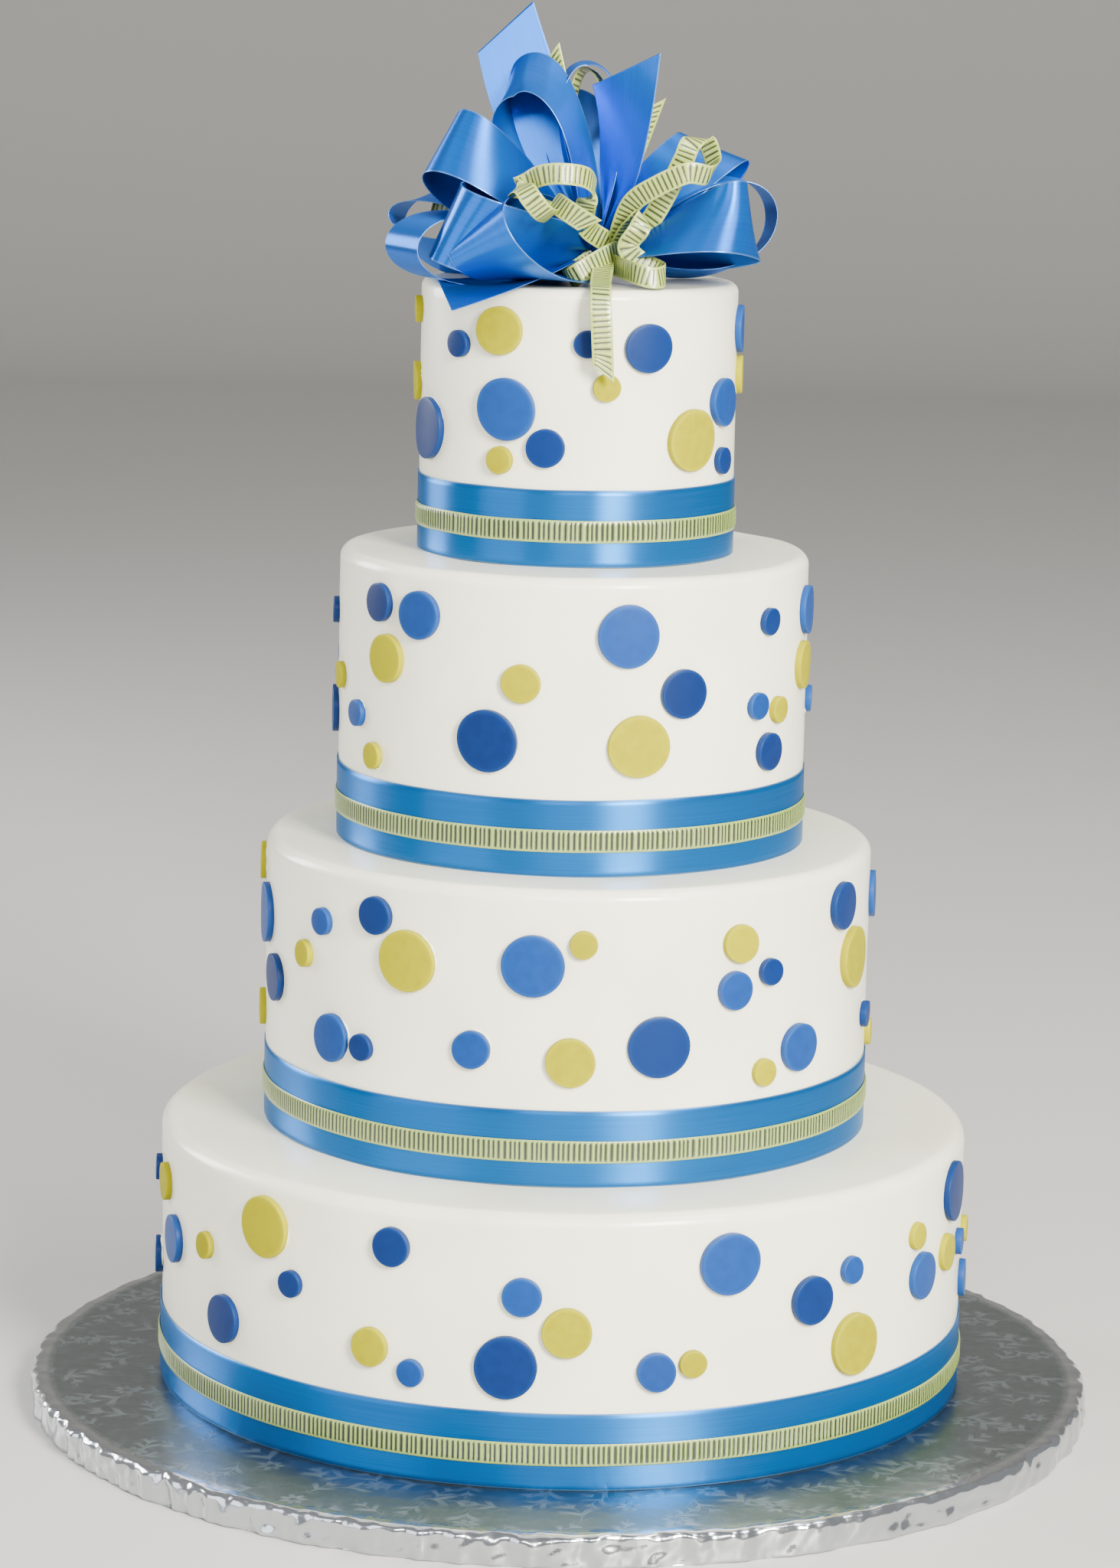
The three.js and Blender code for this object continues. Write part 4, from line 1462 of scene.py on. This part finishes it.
@dataclass
class SatinBow:
    """The wide ribbon's loops and tails, and the gathered ribbon in the knot."""

    knot_radius: float = 15.0
    knot_flatness: float = 0.72
    pleats: int = 11
    pleat_share: float = 0.18
    knot_rows: int = 40
    knot_segments: int = 160

    def gathered_knot(self, material: Material) -> Object:
        """The ribbon drawn together in the middle of the bow.

        It is a flattened ball whose skin waves in and out as it goes round, in folds that
        run from the top to the foot and twist a little on their way.

        Args:
            material: the satin.

        Returns:
            The new object.
        """
        rise = np.linspace(-np.pi / 2, np.pi / 2, self.knot_rows)[:, None]
        turn = np.linspace(0, 2 * np.pi, self.knot_segments, endpoint=False)
        fold = np.abs(np.sin(self.pleats / 2 * (turn + 0.5 * rise))) ** 0.7
        radius = self.knot_radius * (1 - self.pleat_share + self.pleat_share * fold)
        flat = np.cos(rise)
        points = BOW_KNOT + np.stack([radius * flat * np.cos(turn), radius * flat * np.sin(turn),
                                      self.knot_flatness * radius * np.sin(rise)], -1)
        cloth = np.stack(np.broadcast_arrays(turn * self.knot_radius, rise * self.knot_radius), -1)
        return make_piece("bow_satin_knot", points, material, cloth=cloth)

    def build(self, material: Material) -> None:
        """Makes the loops, the tails and the knot in place of the CAD bow.

        Args:
            material: the satin.
        """
        ribbons = {f"loop_{name}": loop for name, loop in SATIN_LOOPS.items()}
        ribbons |= {f"tail_{name}": tail for name, tail in SATIN_TAILS.items()}
        for name, ribbon in ribbons.items():
            route = ribbon.path(BOW_KNOT, SATIN_WEAVE.width, PINCHED_HALF_WIDTH)
            piece = SATIN_WEAVE.piece(f"bow_satin_{name}", route, material)
            settle(piece, ["satin_bow"])
            route.run()[-1]
        settle(self.gathered_knot(material), ["satin_bow"])


# The narrow ribbon's free strands. Each point is [x, y, z] with the direction across there.
GROSGRAIN_STRANDS = {
    "left_curl": [
        [17, -26, 596, 0.3, 0, 1], [3, -40, 606, 1, 0.6, 0.2], [2, -54, 618, 0.9, -0.6, 0.4],
        [6, -62, 626, 0.2, 0.5, 1], [2, -74, 632, 0.1, 0.2, 1], [-9, -80, 634, 0, 0.2, 1],
        [-19, -77, 633, -0.3, 0.2, 1], [-27, -70, 629, -0.3, 0.5, 0.8],
        [-32, -76, 626, 0.5, 0.6, 0.6], [-28, -86, 627, 1, 0.1, 0.4],
        [-24, -90, 622, 0.9, 0, 0.3], [-18, -86, 615, 0.9, 0, 0.5],
        [-14, -74, 614, 0.7, -0.2, 0.7], [-14, -70, 620, 0.7, -0.2, 0.6],
        [-8, -80, 617, 0.7, -0.1, 0.8], [4, -88, 610, 0.6, 0, 0.8]],
    "right_loop": [
        [18, -26, 595, 1, 0, 0.2], [20, -34, 607, 0.9, 0, -0.2], [25, -42, 619, 0.7, 0, -0.7],
        [36, -48, 627, 0.3, 0, -0.9], [51, -52, 634, 0.1, 0, -1], [62, -46, 633, -0.2, 0.4, -0.9],
        [64, -34, 639, -0.7, 0.6, -0.3], [60, -30, 649, -0.9, 0.4, 0],
        [53, -38, 648, -0.9, 0, 0.2], [49, -38, 639, -0.9, 0, 0.4], [41, -32, 622, -0.8, 0, 0.6],
        [33, -28, 608, -0.8, 0.2, 0.6], [23, -22, 596, -0.6, 0.2, 0.7]],
    "knot_loop": [
        [19, -30, 597, 1, 0, 0.3], [24, -40, 609, 0.9, 0.2, 0.4], [30, -46, 612, 0.5, 0.5, -0.7],
        [28, -50, 606, 1, 0, 0.1], [23, -48, 598, 0.9, 0, 0.3], [27, -50, 592, 0.6, 0.1, 0.8],
        [37, -52, 587, 0.1, 0.3, 1], [41, -60, 585, 0, 0.2, 1], [36, -68, 584, -0.1, 0.2, 1],
        [26, -64, 586, -0.1, 0.2, 1], [16, -36, 588, 0, 0.2, 1]],
    "knot_wrap": [
        [19, -30, 595, -0.1, 0, 1], [12, -42, 592, -0.2, 0, 1], [0, -52, 585, -0.5, 0, 0.9],
        [-6, -44, 581, -0.6, 0.3, 0.8], [-1, -32, 585, -0.5, 0.3, 0.8],
        [10, -20, 592, -0.2, 0.3, 0.9]],
    "hanging_tail": [
        [12, -30, 592, 1, 0, -0.1], [11, -46, 587, 1, 0, -0.1], [10, -66, 582, 1, 0.1, 0],
        [10, -84, 580, 1, 0.1, 0], [10, -91, 572, 1, 0.1, 0], [11, -92, 557, 1, 0.1, 0],
        [12, -90, 539, 1, 0.1, 0]],
}


@dataclass
class GrosgrainBow:
    """The narrow ribbon of the bow: free strands through listed points, and loops and tails behind.
    """

    width: float = 10.4
    cut_run: float = 14.0
    stations: int = 400
    strand_nodes: dict[str, str] = field(default_factory=lambda: {
        "left_curl": "grosgrain_curl_left", "right_loop": "grosgrain_curl_right",
        "knot_loop": "grosgrain_knot", "knot_wrap": "grosgrain_knot",
        "hanging_tail": "grosgrain_knot"})
    strand_cuts: dict[str, float] = field(default_factory=lambda: {
        "left_curl": 4.0, "hanging_tail": 4.5})
    behind: dict[str, BowLoop | BowTail] = field(default_factory=lambda: {
        "loop_left": BowLoop(172, 14, -85, 86, 16, 0, 0, 1, 0),
        "loop_top": BowLoop(98, 77, 60, 93, 20, 0, -4, 1, 0, 20),
        "tail_left": BowTail(150, 74, -86, 102, 0, 0, 4, 0),
        "tail_right": BowTail(46, 62, 72, 83, 0, 0, 6, 0)})

    def strand(self, rows: list[list[float]], cut: float) -> RibbonPath:
        """A smooth route through listed points, by a uniform Catmull-Rom spline.

        Args:
            rows: the points with the directions across.
            cut: how far the end's one edge runs on past the middle.

        Returns:
            The route.
        """
        table = np.array(rows, float)
        table[:, 3:] = unit(table[:, 3:])
        table = np.vstack([2 * table[0] - table[1], table, 2 * table[-1] - table[-2]])
        place = np.linspace(0, len(rows) - 1, self.stations)
        piece = np.minimum(place.astype(int), len(rows) - 2)
        part = (place - piece)[:, None]
        a, b, c, d = (table[piece + step] for step in range(4))
        route = 0.5 * (2 * b + (c - a) * part + (2 * a - 5 * b + 4 * c - d) * part ** 2
                       + (3 * b - a - 3 * c + d) * part ** 3)
        path = RibbonPath(route[:, :3], route[:, 3:], np.full(len(route), self.width / 2))
        path = path.squared()
        run = path.run()
        tangent = unit(np.gradient(path.centre, axis=0))
        end = smoothstep((run - run[-1] + self.cut_run) / self.cut_run)[:, None]
        return replace(path, shift=cut * end * tangent)

    def build(self, material: Material) -> None:
        """Makes every strand, loop and tail in place of its CAD node.

        Args:
            material: the grosgrain.
        """
        step = GROSGRAIN_WEAVE.rib_pitch / RIB_STATIONS
        routes = {name: (self.strand(rows, self.strand_cuts.get(name, 0.0)),
                         self.strand_nodes[name]) for name, rows in GROSGRAIN_STRANDS.items()}
        for name, ribbon in self.behind.items():
            routes[name] = (ribbon.path(GROSGRAIN_KNOT, self.width, PINCHED_HALF_WIDTH),
                            f"grosgrain_{name}")
        for number, (name, (route, node)) in enumerate(routes.items()):
            piece = GROSGRAIN_WEAVE.piece(f"bow_grosgrain_{name}", route.spaced(step), material,
                                          number)
            settle(piece, [node])
            route.run()[-1]


# ------------------------------------------------------------------ board


@dataclass(frozen=True)
class Folds:
    """One set of pressed folds: their height, spacing, squash along Z, and their number."""

    height: float
    spacing: float
    squash: float
    count: int

    def over(self, skin: np.ndarray, seed: int) -> np.ndarray:
        """The folds' height at each point of a skin."""
        return self.height * creases(skin * [1, 1, self.squash], self.spacing, seed, self.count)


@dataclass
class DrumBoard:
    """The drum board: stiff board covered in embossed foil, pressed in creases at its edge."""

    radius: float = BOARD_RADIUS
    thickness: float = BOARD_THICKNESS
    edge: float = 4.0
    segments: int = 960
    hidden_radius: float = 196.0
    ring_step: float = 2.4
    seed: int = 5
    crush_depth: float = 1.1
    crush: tuple[Folds, ...] = (Folds(1.0, 24, 0.4, 4), Folds(0.8, 14, 0.8, 4),
                                Folds(0.35, 8, 1.0, 3))
    crimp: Folds = Folds(0.35, 15, 0.3, 5)
    crimp_width: float = 2.6
    # The top's waves, broad and small: their rise, their length and what is added to the seed.
    waves: tuple[tuple[float, float, int], ...] = ((0.12, 60, 0), (0.05, 14, 3))

    def profile(self) -> np.ndarray:
        """The outline of the board, from the middle of its top over the edge to its foot.

        Returns:
            Rows of radius and height.
        """
        inner = self.radius - self.edge
        hidden = np.linspace(0, self.hidden_radius, 5)
        shown = np.arange(self.hidden_radius + self.ring_step, inner, self.ring_step)
        flat = np.concatenate([hidden, shown])
        top = np.stack([flat, np.full_like(flat, self.thickness)], -1)
        bend = np.linspace(np.pi / 2, 0, 7)
        lip = np.stack([inner + self.edge * np.cos(bend),
                        self.thickness - self.edge * (1 - np.sin(bend))], -1)
        drop = np.linspace(self.thickness - self.edge, 1.2, 11)[1:]
        side = np.stack([np.full_like(drop, self.radius), drop], -1)
        foot = np.array([[self.radius - 0.5, 0.3], [self.radius - 1.5, 0], [self.radius - 20, 0],
                         [0, 0]])
        return np.concatenate([top, lip, side, foot])

    def build(self, material: Material) -> None:
        """Makes the foil-covered board in place of its CAD node.

        The skin of its edge moves out by folds that follow the place round and up the edge,
        and the rim of its top rises and falls by finer ones.

        Args:
            material: the foil.
        """
        points = turned_form(self.profile(), self.segments)
        height = points[..., 2]
        radial = np.linalg.norm(points[..., :2], axis=-1)
        outward = unit(points * [1, 1, 0])
        on_edge = smoothstep((radial - self.radius + self.edge + 1) / self.edge)
        on_side = on_edge * (height > 0.2)
        turn = np.arctan2(points[..., 0], -points[..., 1])
        skin = np.stack([np.cos(turn) * self.radius, np.sin(turn) * self.radius, height], -1)
        crush = sum(folds.over(skin, self.seed + number)
                    for number, folds in enumerate(self.crush))
        points = points + outward * (on_side * self.crush_depth * crush)[..., None]
        top = height > self.thickness - 0.01
        wave = sum(rise * ripple(points, length, self.seed + number)
                   for rise, length, number in self.waves)
        rim = smoothstep((radial - self.radius + self.crimp_width * self.edge) / self.edge)
        crimp = rim * self.crimp.over(skin, self.seed + 4)
        upper = height > self.thickness / 2
        lowered = wave - self.waves[0][0]
        points[..., 2] += np.where(top, lowered, 0) + np.where(upper, crimp, 0)
        piece = make_piece("foil_board", points, material, {"flat": np.where(top, 1 - rim, 0)})
        settle(piece, ["cake_board"])


# ------------------------------------------------------------------ studio


@dataclass(frozen=True)
class Lamp:
    """A soft rectangular lamp, with its place and size in metres."""

    name: str
    place: tuple[float, float, float]
    size: tuple[float, float]
    watts: float
    colour: str = "ffffff"


LAMPS = (
    Lamp("key", (1.22, -2.3, 1.45), (0.7, 1.0), 270, "fffbf0"),
    Lamp("front", (-0.2, -2.65, 1.85), (1.1, 0.6), 40),
    Lamp("fill", (-2.2, -1.6, 1.2), (1.8, 2.0), 36, "f2f6ff"),
    Lamp("overhead", (0.1, 0.5, 2.5), (2.2, 1.6), 14),
    Lamp("high_right", (1.35, -0.8, 2.5), (0.9, 0.9), 38),
    Lamp("back_left", (-2.1, 1.2, 1.0), (0.9, 1.1), 62),
)


@dataclass
class Studio:
    """The camera, the lamps, and a plain pale floor that curves up behind.

    The camera's place is in millimetres and its angles in radians. The room is in metres.
    """

    focal_px: float = 6160.83
    long_side_px: float = 2048.0
    sensor_mm: float = 36.0
    place: tuple[float, float, float] = (-1.17, -2362.94, 749.9)
    pitch: float = 0.179366
    yaw: float = -0.0016818
    roll: float = 0.0197347
    aim: tuple[float, float, float] = (0.0, 0.0, 0.35)
    reach: float = 6.0
    curve_start: float = 5.4
    curve_radius: float = 1.2
    wall_top: float = 5.0
    paper: str = "bdbbb7"
    paper_roughness: float = 0.55
    air: str = "e6e8ea"
    air_strength: float = 0.55

    def camera(self) -> None:
        """Sets up the camera: it looks slightly down on the front of the cake."""
        forward = np.array([math.sin(self.yaw) * math.cos(self.pitch),
                            math.cos(self.yaw) * math.cos(self.pitch), -math.sin(self.pitch)])
        level = np.array([math.cos(self.yaw), -math.sin(self.yaw), 0.0])
        upright = np.cross(level, forward)
        right = math.cos(self.roll) * level + math.sin(self.roll) * upright
        up = math.cos(self.roll) * upright - math.sin(self.roll) * level
        data = bpy.data.cameras.new("camera")
        data.sensor_width = self.sensor_mm
        data.lens = self.sensor_mm * self.focal_px / self.long_side_px
        camera = bpy.data.objects.new("camera", data)
        turn = Matrix(np.stack([right, up, -forward], 1).tolist()).to_4x4()
        camera.matrix_world = Matrix.Translation(Vector(self.place) * MM) @ turn
        bpy.context.scene.collection.objects.link(camera)
        bpy.context.scene.camera = camera

    def hang(self, lamp: Lamp) -> None:
        """Puts a lamp in its place, facing the middle of the cake.

        Args:
            lamp: the lamp.
        """
        data = bpy.data.lights.new(lamp.name, "AREA")
        data.shape = "RECTANGLE"
        data.size, data.size_y = lamp.size
        data.energy = lamp.watts
        data.color = srgb(lamp.colour)[:3]
        hung = bpy.data.objects.new(lamp.name, data)
        hung.location = lamp.place
        towards = Vector(self.aim) - Vector(lamp.place)
        hung.rotation_euler = towards.to_track_quat("-Z", "Y").to_euler()
        bpy.context.scene.collection.objects.link(hung)

    def floor(self) -> None:
        """The floor: a wide sheet that is level under the cake and bends up far behind."""
        bend = np.linspace(0, np.pi / 2, 24)
        level = np.array([[-self.reach, 0.0], [self.curve_start, 0.0]])
        curve = np.stack([self.curve_start + self.curve_radius * np.sin(bend),
                          self.curve_radius * (1 - np.cos(bend))], -1)
        wall = np.array([[self.curve_start + self.curve_radius, self.wall_top]])
        outline = np.concatenate([level, curve[1:], wall])
        sideways = np.linspace(-self.reach, self.reach, 3)
        points = np.stack(np.broadcast_arrays(sideways[None], outline[:, :1], outline[:, 1:]), -1)
        material, _, shader = start_material("studio_paper")
        set_up(shader, {"Roughness": self.paper_roughness, "Base Color": srgb(self.paper)})
        rows, columns = points.shape[:2]
        sheet = bpy.data.meshes.new("studio_floor")
        sheet.from_pydata(points.reshape(-1, 3).tolist(), [], grid_faces(rows, columns).tolist())
        show("studio_floor", sheet, material)

    def build(self) -> None:
        """Sets up the whole studio."""
        self.camera()
        self.floor()
        for lamp in LAMPS:
            self.hang(lamp)
        world = bpy.data.worlds.new("studio_air")
        world.use_nodes = True
        set_up(world.node_tree.nodes["Background"],
               {"Color": srgb(self.air), "Strength": self.air_strength})
        bpy.context.scene.world = world


# ------------------------------------------------------------------ assembly


def main() -> None:
    """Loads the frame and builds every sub-assembly in turn."""
    logging.basicConfig(level=logging.INFO, format="%(name)s: %(message)s")
    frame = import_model()
    Studio().build()
    tiers = stacked_tiers()
    fondant = RolledFondant().make()
    IcedTiers(tiers).build(fondant)
    # Each paste's last colour is the painted highlight on its rim.
    pastes = {
        Tone.NAVY: SugarPaste("navy_paste", "03265e", "032053", "113972"),
        Tone.BLUE: SugarPaste("blue_paste", "0e3c7e", "0b3573", "205093"),
        Tone.YELLOW: SugarPaste("yellow_paste", "9d9700", "918a00", "aaa414", sheen=0.06),
    }
    dots = [node for node in frame["nodes"] if node.startswith("dot_")]
    SugarDots(tiers).build({tone: paste.make() for tone, paste in pastes.items()}, fondant, dots)
    band_satin = WovenSatin("band_satin", "025da2", "025394", roughness=0.35, anisotropy=0.86,
                            metallic=0.68).make()
    bow_satin = WovenSatin("bow_satin", "0a60c0", "0856b0", roughness=0.33, metallic=0.72,
                           gloss=0.1).make()
    # Its first and last colours are the painted highlight on the crests and the painted shade in
    # the grooves.
    band_grosgrain = RibbedGrosgrain("band_grosgrain", "8c9f52", "4f602c", "0c1204").make()
    bow_grosgrain = RibbedGrosgrain("bow_grosgrain").make()
    RibbonBands(tiers).build(band_satin, band_grosgrain)
    SatinBow().build(bow_satin)
    GrosgrainBow().build(bow_grosgrain)
    DrumBoard().build(EmbossedFoil().make())


if __name__ == "__main__":
    main()
